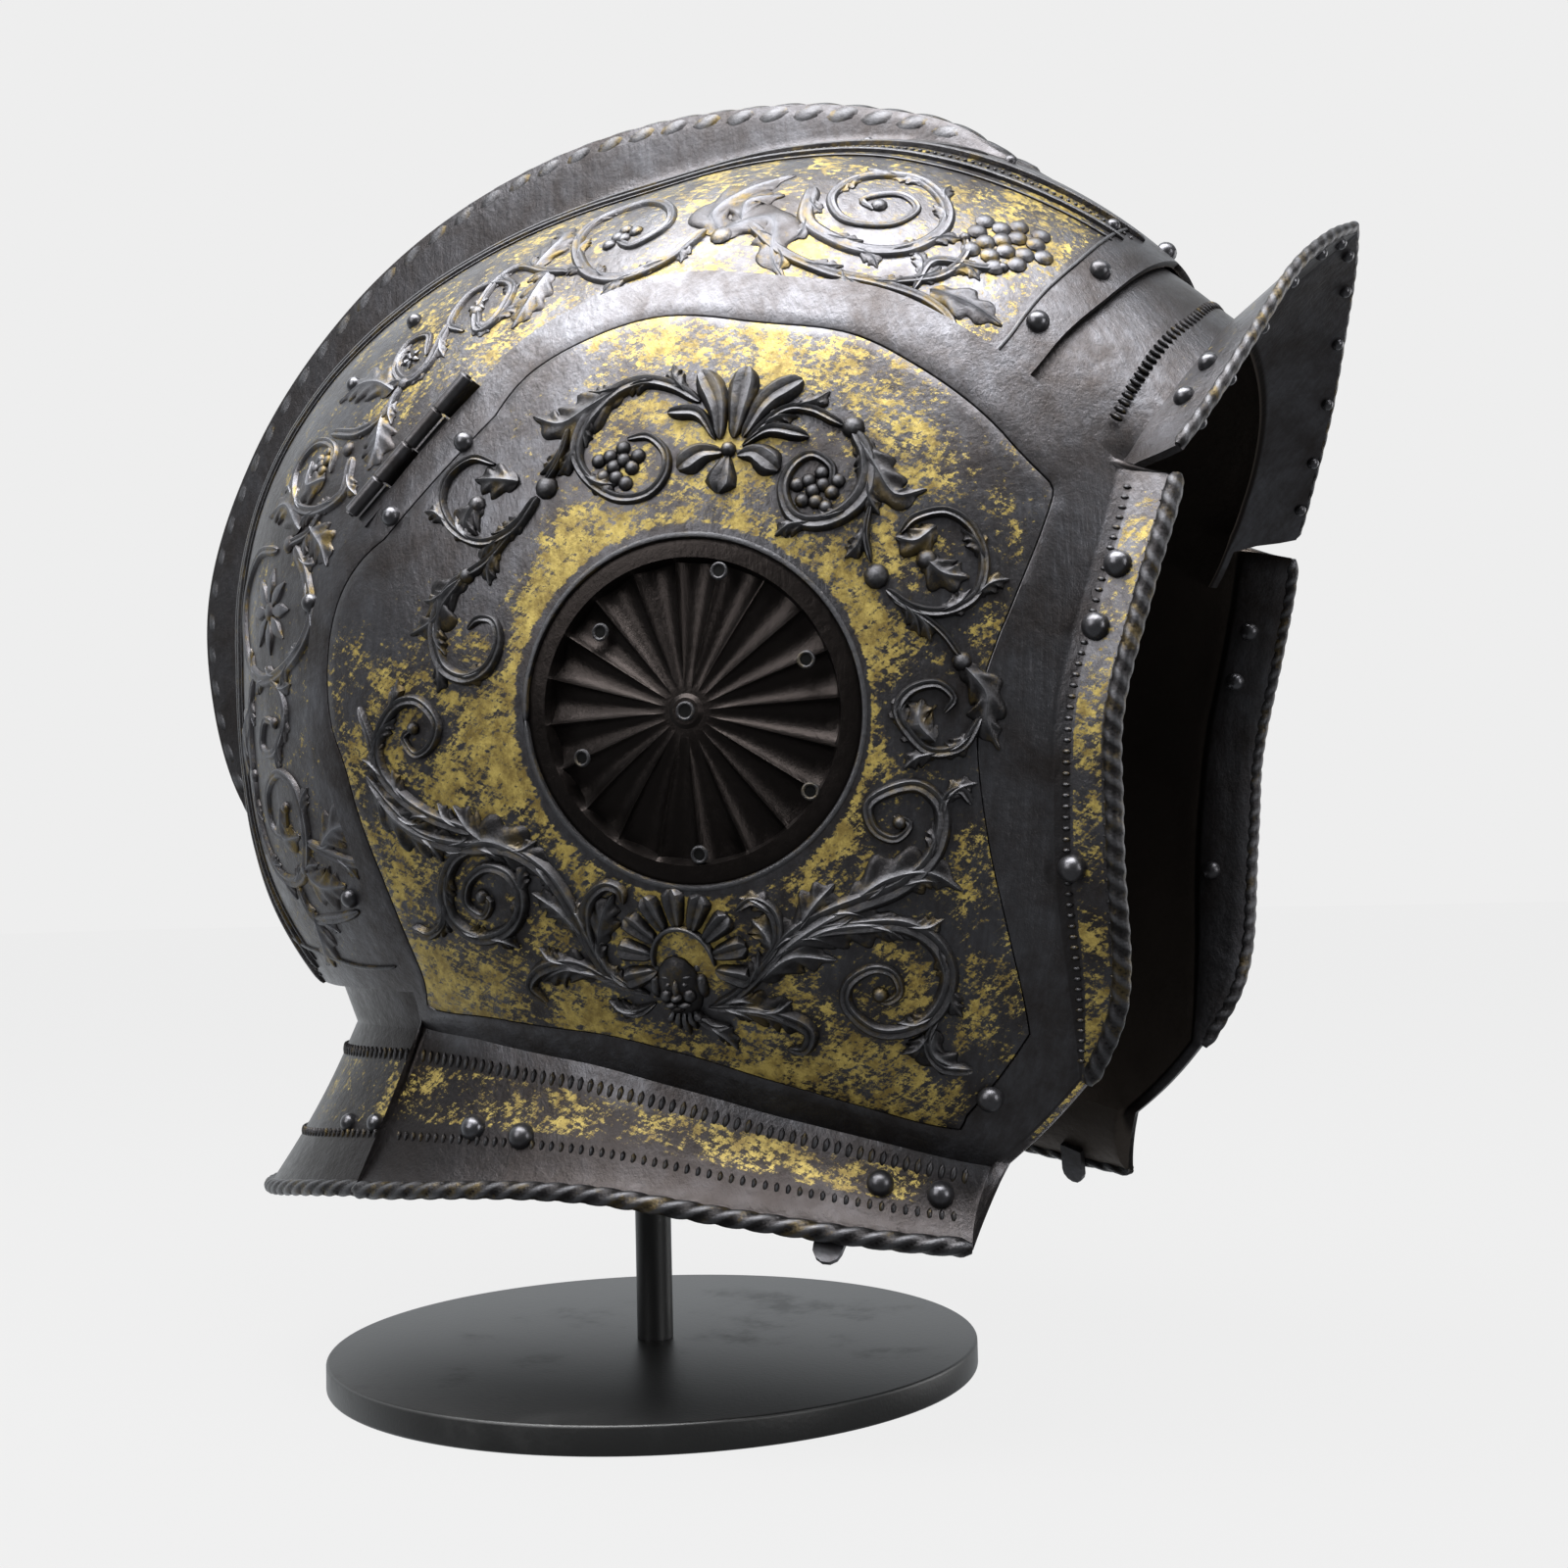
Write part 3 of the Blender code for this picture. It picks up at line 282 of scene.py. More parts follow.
# Leaves of the cheek: width, lobes, then the places along the midrib
CHEEK_LEAVES = (
    (8.0, 4, ((-48, 235), (-41, 231), (-34, 228), (-26, 231))),
    (6.5, 4, ((-100, 219), (-104, 212), (-108, 206), (-114, 207))),
    (6.5, 4, ((-11, 196), (-5, 192), (-3, 187), (5, 184))),
    (6.0, 4, ((-120, 170), (-124, 164), (-124, 158), (-126, 152))),
    (7.0, 4, ((-114, 154), (-111, 158), (-112, 163))),
    (8.5, 5, ((21, 151), (14, 143), (5, 138), (-4, 137))),
    (8.0, 4, ((-4, 136), (-12, 137), (-20, 134), (-28, 128))),
    (6.0, 3, ((-12, 136), (-7, 140), (-3, 145))),
    (6.5, 4, ((-33, 115), (-28, 121), (-21, 125))),
    (6.0, 3, ((-36, 113), (-39, 120), (-42, 124))),
    (6.5, 4, ((-34, 106), (-27, 108), (-18, 105))),
    (8.5, 5, ((-76, 108), (-84, 114), (-93, 119), (-101, 122))),
    (7.5, 4, ((-95, 121), (-103, 126), (-111, 127), (-117, 123))),
    (6.0, 3, ((-78, 111), (-77, 115), (-74, 118))),
    (6.0, 3, ((-84, 116), (-88, 121), (-92, 125))),
    (7.5, 4, ((-83, 113), (-92, 116), (-101, 116), (-107, 113))),
    (6.5, 3, ((-74, 105), (-82, 110), (-91, 109))),
    (5.5, 3, ((-109, 94), (-108, 89), (-113, 85))),
    (6.5, 4, ((-66, 99), (-75, 98), (-82, 93))),
    (6.5, 3, ((-14, 213), (-11, 209), (-10, 204))),
    (6.0, 3, ((-24, 216), (-18, 217), (-12, 218))),
    (6.0, 3, ((-116, 199), (-112, 196), (-108, 197))),
    (6.0, 3, ((-113, 193), (-117, 189), (-122, 188))),
)
# Top flower of the cheek: width, then places from its knot
CHEEK_PETALS = (
    (5.0, ((-71, 221), (-70, 229), (-66, 237))),
    (5.4, ((-74, 221), (-75, 229), (-76, 237))),
    (5.0, ((-76, 221), (-81, 229), (-88, 233))),
    (2.8, ((-70, 221), (-66, 227), (-59, 228))),
    (2.8, ((-76, 219), (-82, 222), (-90, 220))),
    (5.2, ((-72, 218), (-67, 218), (-62, 215))),
    (5.6, ((-73, 217), (-72, 213), (-71, 209))),
    (5.2, ((-75, 217), (-79, 217), (-84, 213))),
)
# Berries and bosses of the cheek: place, radius of the bunch, count
CHEEK_GRAPES = ((-48, 217, 5.6, 11), (-92, 208, 5.0, 10))
CHEEK_KNOTS = (
    (-73, 218.5, 1.8), (-31, 214, 2.8), (-99, 221.5, 2.6), (-104, 189, 2.8), (-120, 170.5, 2.2),
    (-11, 196, 2.0), (-13, 212, 2.2), (-114, 192, 2.4), (6, 163, 1.6), (-7, 124.5, 1.8),
    (-106, 137.5, 1.6), (-99, 101.5, 1.8),
)
# Holes of the roundel: turn, distance as a share of its radius
ROUNDEL_HOLES = ((106, 0.80), (44, 0.68), (-20, 0.68), (-92, 0.80), (-145, 0.82), (160, 0.73))
# Shell over the mask: centre, inner and outer reach, lobes and the turns where they start and end
SHELL = (-56.5, 109.0, 7.5, 16.0, 9, -14.0, 194.0)
MASK = (-54.0, 103.5)

# Scrollwork of the bowl: widths, then places as angle and tilt
SKULL_STEMS = (
    ((3.4, 3.0, 2.6, 2.2, 1.8, 1.4), ((53, 36), (49, 42), (42, 43), (38, 40), (38, 35), (41, 31), (46, 29), (50, 32),
     (50, 37), (46, 40), (42, 38), (42, 34), (45, 33), (47, 36), (45, 37))),
    ((2.6, 2.4, 2.2, 1.8), ((55, 44), (48, 47), (41, 47), (36, 45), (31, 43), (27, 43), (25, 46))),
    ((1.8, 2.0, 1.6), ((35, 44), (33, 40), (34, 36), (36, 34))),
    ((1.8, 2.0, 1.6), ((33, 43), (35, 39), (32, 36), (31, 34))),
    ((3.0, 2.8, 2.4, 1.8), ((60, 45), (62, 50), (68, 52), (76, 49), (82, 42), (82, 36), (76, 34), (70, 38),
     (67, 43), (70, 46), (74, 44))),
    ((2.2, 2.2, 2.0), ((80, 48), (86, 46), (92, 43), (96, 45), (98, 50))),
    ((2.6, 2.2, 1.6), ((98, 50), (96, 54), (92, 53), (91, 48), (95, 45), (101, 45), (104, 50), (100, 53))),
    ((2.6, 2.2, 1.6), ((104, 50), (108, 56), (114, 57), (117, 53), (114, 49), (109, 50), (109, 54))),
    ((2.0, 2.6, 2.2), ((115, 57), (122, 60), (130, 59), (136, 54))),
    ((2.8, 2.4, 1.8), ((134, 62), (142, 65), (150, 62), (152, 56), (147, 51), (140, 52), (137, 57), (141, 60))),
    ((1.8, 2.0, 1.8), ((150, 63), (156, 62), (161, 57))),
    ((3.0, 2.8, 2.2), ((160, 60), (166, 64), (177, 66), (186, 62), (188, 54), (182, 46), (172, 44), (164, 48),
     (162, 55))),
    ((2.0, 2.2, 1.6), ((188, 55), (193, 58), (199, 58), (202, 54), (199, 50), (195, 52), (197, 55))),
    ((2.0, 2.6, 2.2), ((186, 48), (194, 45), (201, 44))),
    ((3.0, 2.8, 2.2, 1.6), ((201, 44), (208, 42), (217, 43), (222, 49), (219, 55), (212, 57), (206, 54),
     (206, 49), (211, 47), (215, 50), (212, 53))),
    ((2.2, 2.6, 1.8), ((220, 54), (226, 56), (233, 58), (240, 61))),
    ((2.2, 2.6, 1.8), ((221, 46), (226, 44), (230, 47), (236, 52))),
)
SKULL_LEAVES = (
    (7.5, 4, ((58, 46), (53, 43), (48, 48), (44, 50))),
    (8.0, 4, ((57, 46), (61, 42), (60, 37), (57, 33))),
    (6.0, 3, ((56, 44), (58, 40), (55, 38))),
    (5.5, 3, ((40, 46), (36, 48), (32, 47))),
    (5.5, 3, ((34, 45), (29, 47), (26, 49))),
    (5.5, 3, ((32, 42), (28, 40), (25, 39))),
    (6.5, 4, ((84, 47), (85, 52), (87, 56))),
    (6.5, 4, ((88, 45), (86, 39), (89, 35))),
    (7.0, 4, ((118, 57), (122, 53), (127, 50), (132, 49))),
    (7.0, 4, ((122, 60), (126, 64), (132, 66))),
    (6.5, 4, ((143, 60), (147, 57), (143, 54))),
    (6.5, 4, ((154, 62), (157, 66), (162, 68))),
    (7.0, 4, ((156, 60), (153, 54), (157, 48))),
    (7.5, 4, ((222, 50), (227, 51), (232, 54))),
    (7.0, 4, ((224, 56), (226, 60), (231, 63))),
    (7.0, 4, ((226, 45), (229, 41), (229, 36))),
    (6.0, 3, ((211, 52), (215, 50), (218, 53))),
    (6.5, 4, ((190, 47), (194, 41), (200, 38))),
)
SKULL_GRAPES = ((33.5, 31, 9.5, 16), (74, 43, 4.0, 5), (141, 57, 3.6, 6))
SKULL_BLOOMS = ((174.5, 55, 11.0, 8), (113, 53, 3.0, 5), (98, 49, 3.0, 5))
SKULL_KNOTS = (
    (45, 36, 2.0), (57, 46, 3.0), (36, 34, 1.4), (31, 34, 1.4), (98, 50, 2.0), (115, 57, 2.0), (134, 60, 2.0),
    (160, 58, 2.4), (201, 44, 2.2), (197, 55, 1.6), (212, 53, 1.6), (222, 50, 2.2),
)


def along(table, place):
    """Smooth values of a table of (place, value...) rows at an array of places."""
    rows = np.asarray(table, float)
    knots = rows[:, 0]
    values = rows[:, 1:]
    rises = np.diff(values, axis=0) / np.diff(knots)[:, None]
    slopes = np.vstack([rises[:1], (rises[:-1] + rises[1:]) / 2, rises[-1:]])
    place = np.asarray(place, float)
    row = np.clip(np.searchsorted(knots, place, side="left") - 1, 0, len(knots) - 2)
    width = (knots[row + 1] - knots[row])[..., None]
    share = np.clip((place - knots[row])[..., None] / width, 0.0, 1.0)
    back = 1.0 - share
    value = values[row] * (1 + 2 * share) * back**2 + values[row + 1] * share**2 * (3 - 2 * share)
    return value + width * (slopes[row] * share * back**2 - slopes[row + 1] * share**2 * back)


def spread(rows, share):
    """Smooth rows of an evenly spaced table at shares of its length."""
    table = [(index / (len(rows) - 1), *row) for index, row in enumerate(rows)]
    return along(table, share)


def steps_of(table, place):
    """Straight values of a two-column table."""
    rows = np.asarray(table, float)
    return np.interp(place, rows[:, 0], rows[:, 1])


def bowl_radius(angle):
    """Radius of the bowl's middle plane at an angle from the front upward."""
    return SKULL_R * along(PROFILE, (np.asarray(angle, float) + 34.0) % 360.0 - 34.0)[..., 0]


def comb_height(angle):
    """Height of the comb over the bowl at an angle."""
    height = COMB_H * along(COMB, angle)[..., 0]
    outside = (angle < COMB[0][0]) | (angle > COMB[-1][0])
    return np.where(outside, 0.0, np.maximum(height, 0.0))


def skull_at(angle, tilt, lift=0.0):
    """Points on the bowl's right side from the angle and the tilt out of the middle plane."""
    turn = np.radians(angle)
    side = np.radians(tilt)
    reach = (bowl_radius(angle) + lift) * np.cos(side)
    out = (SKULL_W + lift) * np.sin(side)
    return np.stack([-out, SKULL_Y - reach * np.cos(turn), SKULL_Z + reach * np.sin(turn)], axis=-1)


def side_at(y, z, lift=0.0):
    """Points on the bowl's right side that are seen at y, z in the side view."""
    y = np.asarray(y, float)
    z = np.asarray(z, float)
    forward = SKULL_Y - y
    up = z - SKULL_Z
    angle = np.degrees(np.arctan2(up, forward))
    share = np.minimum(np.hypot(forward, up) / (bowl_radius(angle) + lift), 0.999)
    out = (SKULL_W + lift) * np.sqrt(1.0 - share * share)
    return np.stack([-out, y, z], axis=-1)


def cheek_at(y, z, lift=0.0):
    """Points on the right cheek's outer face."""
    return side_at(y, z, OVER + lift)


def unit(vectors):
    """Vectors of length one."""
    return vectors / np.maximum(np.linalg.norm(vectors, axis=-1, keepdims=True), 1e-9)


def facing(chart, u, v):
    """Outward directions of a chart, and the length of one step of u and of v on it."""
    step = 0.25
    du = (chart(u + step, v) - chart(u - step, v)) / (2 * step)
    dv = (chart(u, v + step) - chart(u, v - step)) / (2 * step)
    normal = unit(np.cross(du, dv))
    place = chart(u, v)
    away = place - np.array([0.0, SKULL_Y, SKULL_Z])
    inward = (normal * away).sum(-1) < 0
    normal[inward] *= -1
    return normal, np.linalg.norm(du, axis=-1), np.linalg.norm(dv, axis=-1)


def polar(rows):
    """Places in the side view from angles and shares of SKULL_R."""
    rows = np.asarray(rows, float)
    turn = np.radians(rows[..., 0])
    reach = SKULL_R * rows[..., 1]
    return np.stack([SKULL_Y - reach * np.cos(turn), SKULL_Z + reach * np.sin(turn)], axis=-1)


def level_out(points):
    """Level directions away from the middle of the neck."""
    flat = np.stack([points[..., 0] * 1.6, points[..., 1] - SKULL_Y, np.zeros(points.shape[:-1])], axis=-1)
    return unit(flat)


def rim_at(y, lift):
    """Points of the collar's rim on the right side at places from front to rear."""
    y = np.asarray(y, float)
    back = y - SKULL_Y
    depth = np.where(back > 0, RIM_REAR, RIM_FRONT) + lift
    share = np.minimum(np.abs(back) / depth, 1.0)
    out = (RIM_W + lift) * np.sqrt(1.0 - share * share)
    return np.stack([-out, y, along(RIM_Z, y)[..., 0]], axis=-1)


def arc(line, shares):
    """Places at shares of the length of a smooth line of polar rows."""
    dense = polar(spread(line, np.linspace(0, 1, 241)))
    lengths = np.concatenate([[0.0], np.cumsum(np.linalg.norm(np.diff(dense, axis=0), axis=1))])
    target = np.asarray(shares) * lengths[-1]
    return np.stack([np.interp(target, lengths, dense[:, k]) for k in (0, 1)], axis=-1)


class Maker:
    """Gathers closed bodies into one mesh."""

    def __init__(self):
        self.points = []
        self.faces = []
        self.heights = []
        self.count = 0

    def add(self, points, faces, heights=None):
        points = np.asarray(points, float).reshape(-1, 3)
        self.points.append(points)
        self.heights.append(np.zeros(len(points)) if heights is None else np.asarray(heights, float).ravel())
        base = self.count
        self.faces.extend([tuple(index + base for index in face) for face in faces])
        self.count += len(points)

    def merge(self, other, flip=False):
        """Adds what another maker holds, as it is or mirrored to the other side."""
        points = np.concatenate(other.points)
        if flip:
            points = points * np.array([-1.0, 1.0, 1.0])
        self.add(points, other.faces, np.concatenate(other.heights))


def piece(name, maker, surface, body, sharp=35.0, nodes=()):
    """Object from a maker's bodies, riding on a body of the frame."""
    mesh = bpy.data.meshes.new(name)
    mesh.from_pydata((np.concatenate(maker.points) * MM).tolist(), [], maker.faces)
    made = bmesh.new()
    made.from_mesh(mesh)
    bmesh.ops.recalc_face_normals(made, faces=made.faces)
    made.to_mesh(mesh)
    made.free()
    layer = mesh.attributes.new("relief", "FLOAT", "POINT")
    layer.data.foreach_set("value", np.concatenate(maker.heights).astype(np.float32))
    mesh.shade_smooth()
    mesh.set_sharp_from_angle(angle=math.radians(sharp))
    mesh.materials.append(surface)
    thing = bpy.data.objects.new(name, mesh)
    bpy.context.scene.collection.objects.link(thing)
    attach(thing, body)
    if nodes:
        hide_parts(*nodes)
    return thing


def grid_faces(rows, cols, closed, start=0, turn=False):
    """Faces of a grid of points."""
    faces = []
    steps = cols if closed else cols - 1
    for row in range(rows - 1):
        for col in range(steps):
            a = start + row * cols + col
            b = start + row * cols + (col + 1) % cols
            faces.append((a, a + cols, b + cols, b) if turn else (a, b, b + cols, a + cols))
    return faces


def plate(maker, outer, inner, closed, heights, inside=None):
    """Plate between an outer grid and an inner grid with the same columns at both rims."""
    rows, cols = outer.shape[:2]
    in_rows = inner.shape[0]
    start = rows * cols
    faces = grid_faces(rows, cols, closed) + grid_faces(in_rows, cols, closed, start, True)
    steps = cols if closed else cols - 1
    for out_row, in_row in ((0, 0), (rows - 1, in_rows - 1)):
        for col in range(steps):
            after = (col + 1) % cols
            a = out_row * cols
            b = start + in_row * cols
            faces.append((a + col, a + after, b + after, b + col))
    if not closed:
        for row in range(rows - 1):
            for col in (0, cols - 1):
                a = row * cols + col
                faces.append((a, a + cols, start + a + cols, start + a))
    points = np.concatenate([outer.reshape(-1, 3), inner.reshape(-1, 3)])
    inside = np.full((in_rows, cols), -1.0) if inside is None else inside
    levels = np.concatenate([heights.ravel(), inside.ravel()])
    maker.add(points, faces, levels)


def turned(maker, profile, steps, base=(0.0, 0.0, 0.0), axis=(0.0, 0.0, 1.0)):
    """Solid of revolution from (radius, height) rows about an axis through base."""
    axis = Vector(axis).normalized()
    across = axis.orthogonal().normalized()
    other = axis.cross(across)
    turns = np.linspace(0, 2 * math.pi, steps, endpoint=False)
    ring = np.outer(np.cos(turns), across) + np.outer(np.sin(turns), other)
    points = [np.asarray(base) + ring * radius + np.asarray(axis) * height for radius, height in profile]
    faces = grid_faces(len(profile), steps, True)
    faces.append(tuple(range(steps)))
    last = (len(profile) - 1) * steps
    faces.append(tuple(range(last, last + steps)))
    maker.add(np.concatenate(points), faces)


def dome(maker, place, normal, radius, height, stretch=None, steps=10, level=0.8, shade=1.0):
    """Rounded boss whose foot is sunk a little, longer along stretch where that is given."""
    normal = unit(np.asarray(normal, float))
    if stretch is None:
        stretch = np.cross(normal, (0.31, 0.52, 0.79))
    along_dir = unit(stretch - normal * (stretch @ normal))
    across = np.cross(normal, along_dir)
    longer, shorter = radius if isinstance(radius, tuple) else (radius, radius)
    turns = np.linspace(0, 2 * math.pi, steps, endpoint=False)
    ring = np.outer(np.cos(turns) * longer, along_dir) + np.outer(np.sin(turns) * shorter, across)
    rows = ((1.0, -0.35), (0.97, 0.25 * height), (0.8, 0.62 * height), (0.5, 0.88 * height), (0.18, height))
    points = [place + ring * share + normal * rise for share, rise in rows]
    faces = grid_faces(len(rows), steps, True)
    faces.append(tuple(range(steps)))
    last = (len(rows) - 1) * steps
    faces.append(tuple(range(last, last + steps)))
    # Relief levels, lowest at the foot, where the chased steel paints hollow shade; shade scales them down for more
    # painted shade
    levels = np.repeat([0.0, 0.3, 0.6, level, 1.0], steps) * shade
    maker.add(np.concatenate(points), faces, levels)


def smooth_line(chart, places, spacing=0.9):
    """Evenly spaced chart places on a smooth line through the given ones."""
    knots = np.asarray(places, float)
    if len(knots) == 2:
        knots = np.array([knots[0], knots.mean(0), knots[1]])
    before = 2 * knots[0] - knots[1]
    after = 2 * knots[-1] - knots[-2]
    full = np.vstack([before, knots, after])
    share = np.linspace(0, 1, 10, endpoint=False)[:, None]
    line = []
    for a, b, c, d in zip(full, full[1:], full[2:], full[3:]):
        line.append(
            0.5 * (2 * b + (c - a) * share + (2 * a - 5 * b + 4 * c - d) * share**2
                   + (3 * b - a - 3 * c + d) * share**3)
        )
    line = np.vstack(line + [knots[-1:]])
    solid = chart(line[:, 0], line[:, 1])
    lengths = np.concatenate([[0.0], np.cumsum(np.linalg.norm(np.diff(solid, axis=0), axis=1))])
    count = max(int(lengths[-1] / spacing), 5)
    target = np.linspace(0, lengths[-1], count)
    return np.stack([np.interp(target, lengths, line[:, k]) for k in (0, 1)], axis=-1)


def ridge(maker, chart, places, widths, height, ribs=1, spacing=0.9, base=0.0, sink=0.45, taper=TAPER):
    """Raised rib along a line on a chart, its widths spread evenly along it."""
    line = smooth_line(chart, places, spacing)
    u, v = line[:, 0], line[:, 1]
    points = chart(u, v, base)
    normal, _, _ = facing(chart, u, v)
    way = unit(np.gradient(points, axis=0))
    across = unit(np.cross(normal, way))
    share = np.linspace(0, 1, len(line))
    wide = np.interp(share, np.linspace(0, 1, len(widths)), widths)
    near_end = np.minimum(share, 1 - share) * len(line) * spacing
    wide = wide * np.clip(0.35 + 0.65 * np.sqrt(near_end / taper), 0.35, 1.0)
    tall = height * np.minimum(1.0, 0.25 + wide / max(widths))
    count = 5 + 2 * ribs
    x = np.linspace(-1, 1, count)
    round_off = np.sqrt(np.clip(1 - np.abs(x) ** 2.6, 0, 1))
    groove = 1 - (0.3 if ribs > 1 else 0.0) * (0.5 + 0.5 * np.cos(math.pi * ribs * (x + 1)))
    rise = round_off * groove
    section = []
    levels = []
    for index in range(count):
        up = tall * rise[index] - (sink if index in (0, count - 1) else 0.0)
        section.append(points + across * (wide * x[index] / 2)[:, None] + normal * up[:, None])
        levels.append(np.full(len(line), rise[index]))
    section.append(points - normal * (sink + 0.25))
    levels.append(np.zeros(len(line)))
    cols = count + 1
    grid = np.stack(section, axis=1)
    faces = grid_faces(len(line), cols, True)
    faces.append(tuple(range(cols)))
    last = (len(line) - 1) * cols
    faces.append(tuple(range(last, last + cols)))
    maker.add(grid, faces, np.stack(levels, axis=1))


def chart_step(chart, place, way, length):
    """Chart place that lies a length away along a direction given in chart units."""
    _, scale_u, scale_v = facing(chart, np.array([place[0]]), np.array([place[1]]))
    solid = np.array([way[0] * scale_u[0], way[1] * scale_v[0]])
    return np.asarray(place) + np.asarray(way) * (length / max(np.hypot(*solid), 1e-6))


def chart_turn(chart, place, way, degrees):
    """Chart direction turned on the surface by some degrees."""
    _, scale_u, scale_v = facing(chart, np.array([place[0]]), np.array([place[1]]))
    x = way[0] * scale_u[0]
    y = way[1] * scale_v[0]
    turn = math.radians(degrees)
    turned_x = x * math.cos(turn) - y * math.sin(turn)
    turned_y = x * math.sin(turn) + y * math.cos(turn)
    return np.array([turned_x / scale_u[0], turned_y / scale_v[0]])


def leaf(maker, chart, places, width, lobes=5, height=1.7):
    """Acanthus leaf: a ribbed blade whose scalloped lobes lean towards its tip."""
    line = smooth_line(chart, places, 0.55)
    u, v = line[:, 0], line[:, 1]
    points = chart(u, v)
    normal, _, _ = facing(chart, u, v)
    way = unit(np.gradient(points, axis=0))
    across = unit(np.cross(normal, way))
    share = np.linspace(0, 1, len(line))
    outline = (0.34 + 0.66 * np.sin(math.pi * share**0.72)) * (1 - share**5) + 0.05
    scallop = 1 - 0.34 * np.abs(np.cos(math.pi * (lobes * share + 0.5))) ** 3
    half = width * LEAF_WIDE * 0.5 * outline * scallop
    section = []
    levels = []
    for x in np.linspace(-1, 1, 15):
        side = abs(x)
        vein = 0.5 + 0.5 * np.cos(2 * math.pi * (lobes * share - 0.45 * side))
        rise = (1 - side**3.5) * (0.85 - 0.42 * vein * side**0.5) + 0.3 * math.exp(-((x / 0.13) ** 2))
        up = height * rise * (0.35 + 0.65 * outline) - (0.45 if side == 1 else 0.0)
        place = points + across * (half * x)[:, None] + way * (half * side * LEAF_LEAN)[:, None]
        section.append(place + normal * up[:, None])
        levels.append(rise)
    section.append(points - normal * 0.8)
    levels.append(np.zeros(len(line)))
    cols = len(section)
    faces = grid_faces(len(line), cols, True)
    faces.append(tuple(range(cols)))
    last = (len(line) - 1) * cols
    faces.append(tuple(range(last, last + cols)))
    maker.add(np.stack(section, axis=1), faces, np.stack(levels, axis=1))


def sprigs(maker, chart, places, reach, height):
    """Small leaves that spring from a stem on alternate sides."""
    line = smooth_line(chart, places, 1.0)
    lean = SPRIG_LEAN
    for index in range(4, int(len(line) * SPRIG_PART), SPRIG_STEP):
        way = line[index + 1] - line[index]
        middle = chart_step(chart, line[index], chart_turn(chart, line[index], way, lean), reach * 0.55)
        tip = chart_step(chart, line[index], chart_turn(chart, line[index], way, lean * 1.7), reach)
        leaf(maker, chart, (line[index], middle, tip), reach * 0.45, 3, height)
        lean = -lean


def bloom(maker, chart, centre, radius, petals, height=1.2, start=0.0):
    """Small flower with a boss in the middle."""
    centre = np.asarray(centre, float)
    for index in range(petals):
        way = chart_turn(chart, centre, (1.0, 0.0), start + 360.0 * index / petals)
        inside = chart_step(chart, centre, way, radius * 0.15)
        tip = chart_step(chart, centre, way, radius)
        wide = radius * 3.6 / petals
        ridge(maker, chart, (inside, tip), (wide * 0.4, wide, wide * 0.3), height)
    boss(maker, chart, centre, radius * 0.24, height * 1.15)


def boss(maker, chart, centre, radius, height):
    """Round boss at a chart place."""
    u = np.array([centre[0]])
    v = np.array([centre[1]])
    normal, _, _ = facing(chart, u, v)
    dome(maker, chart(u, v)[0], normal[0], radius, height)


def grapes(maker, chart, centre, radius, count, height=1.3):
    """Bunch of berries round a place."""
    golden = 137.508
    for index in range(count):
        way = chart_turn(chart, centre, (1.0, 0.0), golden * index)
        place = chart_step(chart, centre, way, radius * math.sqrt((index + 0.3) / count))
        boss(maker, chart, place, radius * 0.85 / math.sqrt(count) + 0.35, height)


def ticks(maker, points, normals, pitch, size, height, lean=None):
    """Row of short raised strokes across a line of points."""
    lengths = np.concatenate([[0.0], np.cumsum(np.linalg.norm(np.diff(points, axis=0), axis=1))])
    target = np.arange(pitch / 2, lengths[-1], pitch)
    place = np.stack([np.interp(target, lengths, points[:, k]) for k in range(3)], axis=-1)
    normal = unit(np.stack([np.interp(target, lengths, normals[:, k]) for k in range(3)], axis=-1))
    way = unit(np.gradient(place, axis=0))
    for spot, up, ahead in zip(place, normal, way):
        dome(maker, spot, up, size, height, np.cross(up, ahead), steps=6)


def rope(maker, points, outward, radius, pitch, strands=2, depth=0.2, spacing=0.8):
    """Roped edge: a rod whose surface is cut into slanting strands."""
    lengths = np.concatenate([[0.0], np.cumsum(np.linalg.norm(np.diff(points, axis=0), axis=1))])
    count = int(lengths[-1] / spacing)
    target = np.linspace(0, lengths[-1], count)
    line = np.stack([np.interp(target, lengths, points[:, k]) for k in range(3)], axis=-1)
    out = np.stack([np.interp(target, lengths, outward[:, k]) for k in range(3)], axis=-1)
    way = unit(np.gradient(line, axis=0))
    out = unit(out - way * (out * way).sum(-1, keepdims=True))
    other = np.cross(way, out)
    sides = 20
    turns = np.linspace(0, 2 * math.pi, sides, endpoint=False)
    phase = strands * turns[None, :] / 2 + math.pi * target[:, None] / pitch
    strand = np.abs(np.sin(phase))
    ends = np.minimum(1.0, 0.55 + np.minimum(target, target[-1] - target) / (2 * radius))[:, None]
    size = radius * (1 - depth + depth * strand**0.6) * ends
    ring = out[:, None, :] * np.cos(turns)[None, :, None] + other[:, None, :] * np.sin(turns)[None, :, None]
    grid = line[:, None, :] + ring * size[..., None]
    faces = grid_faces(count, sides, True)
    faces.append(tuple(range(sides)))
    faces.append(tuple(range((count - 1) * sides, count * sides)))
    maker.add(grid, faces, strand)


def both_sides(build):
    """A maker for the right side and its mirror image for the left."""
    right = Maker()
    build(right)
    left = Maker()
    left.merge(right, flip=True)
    return {"right": right, "left": left}


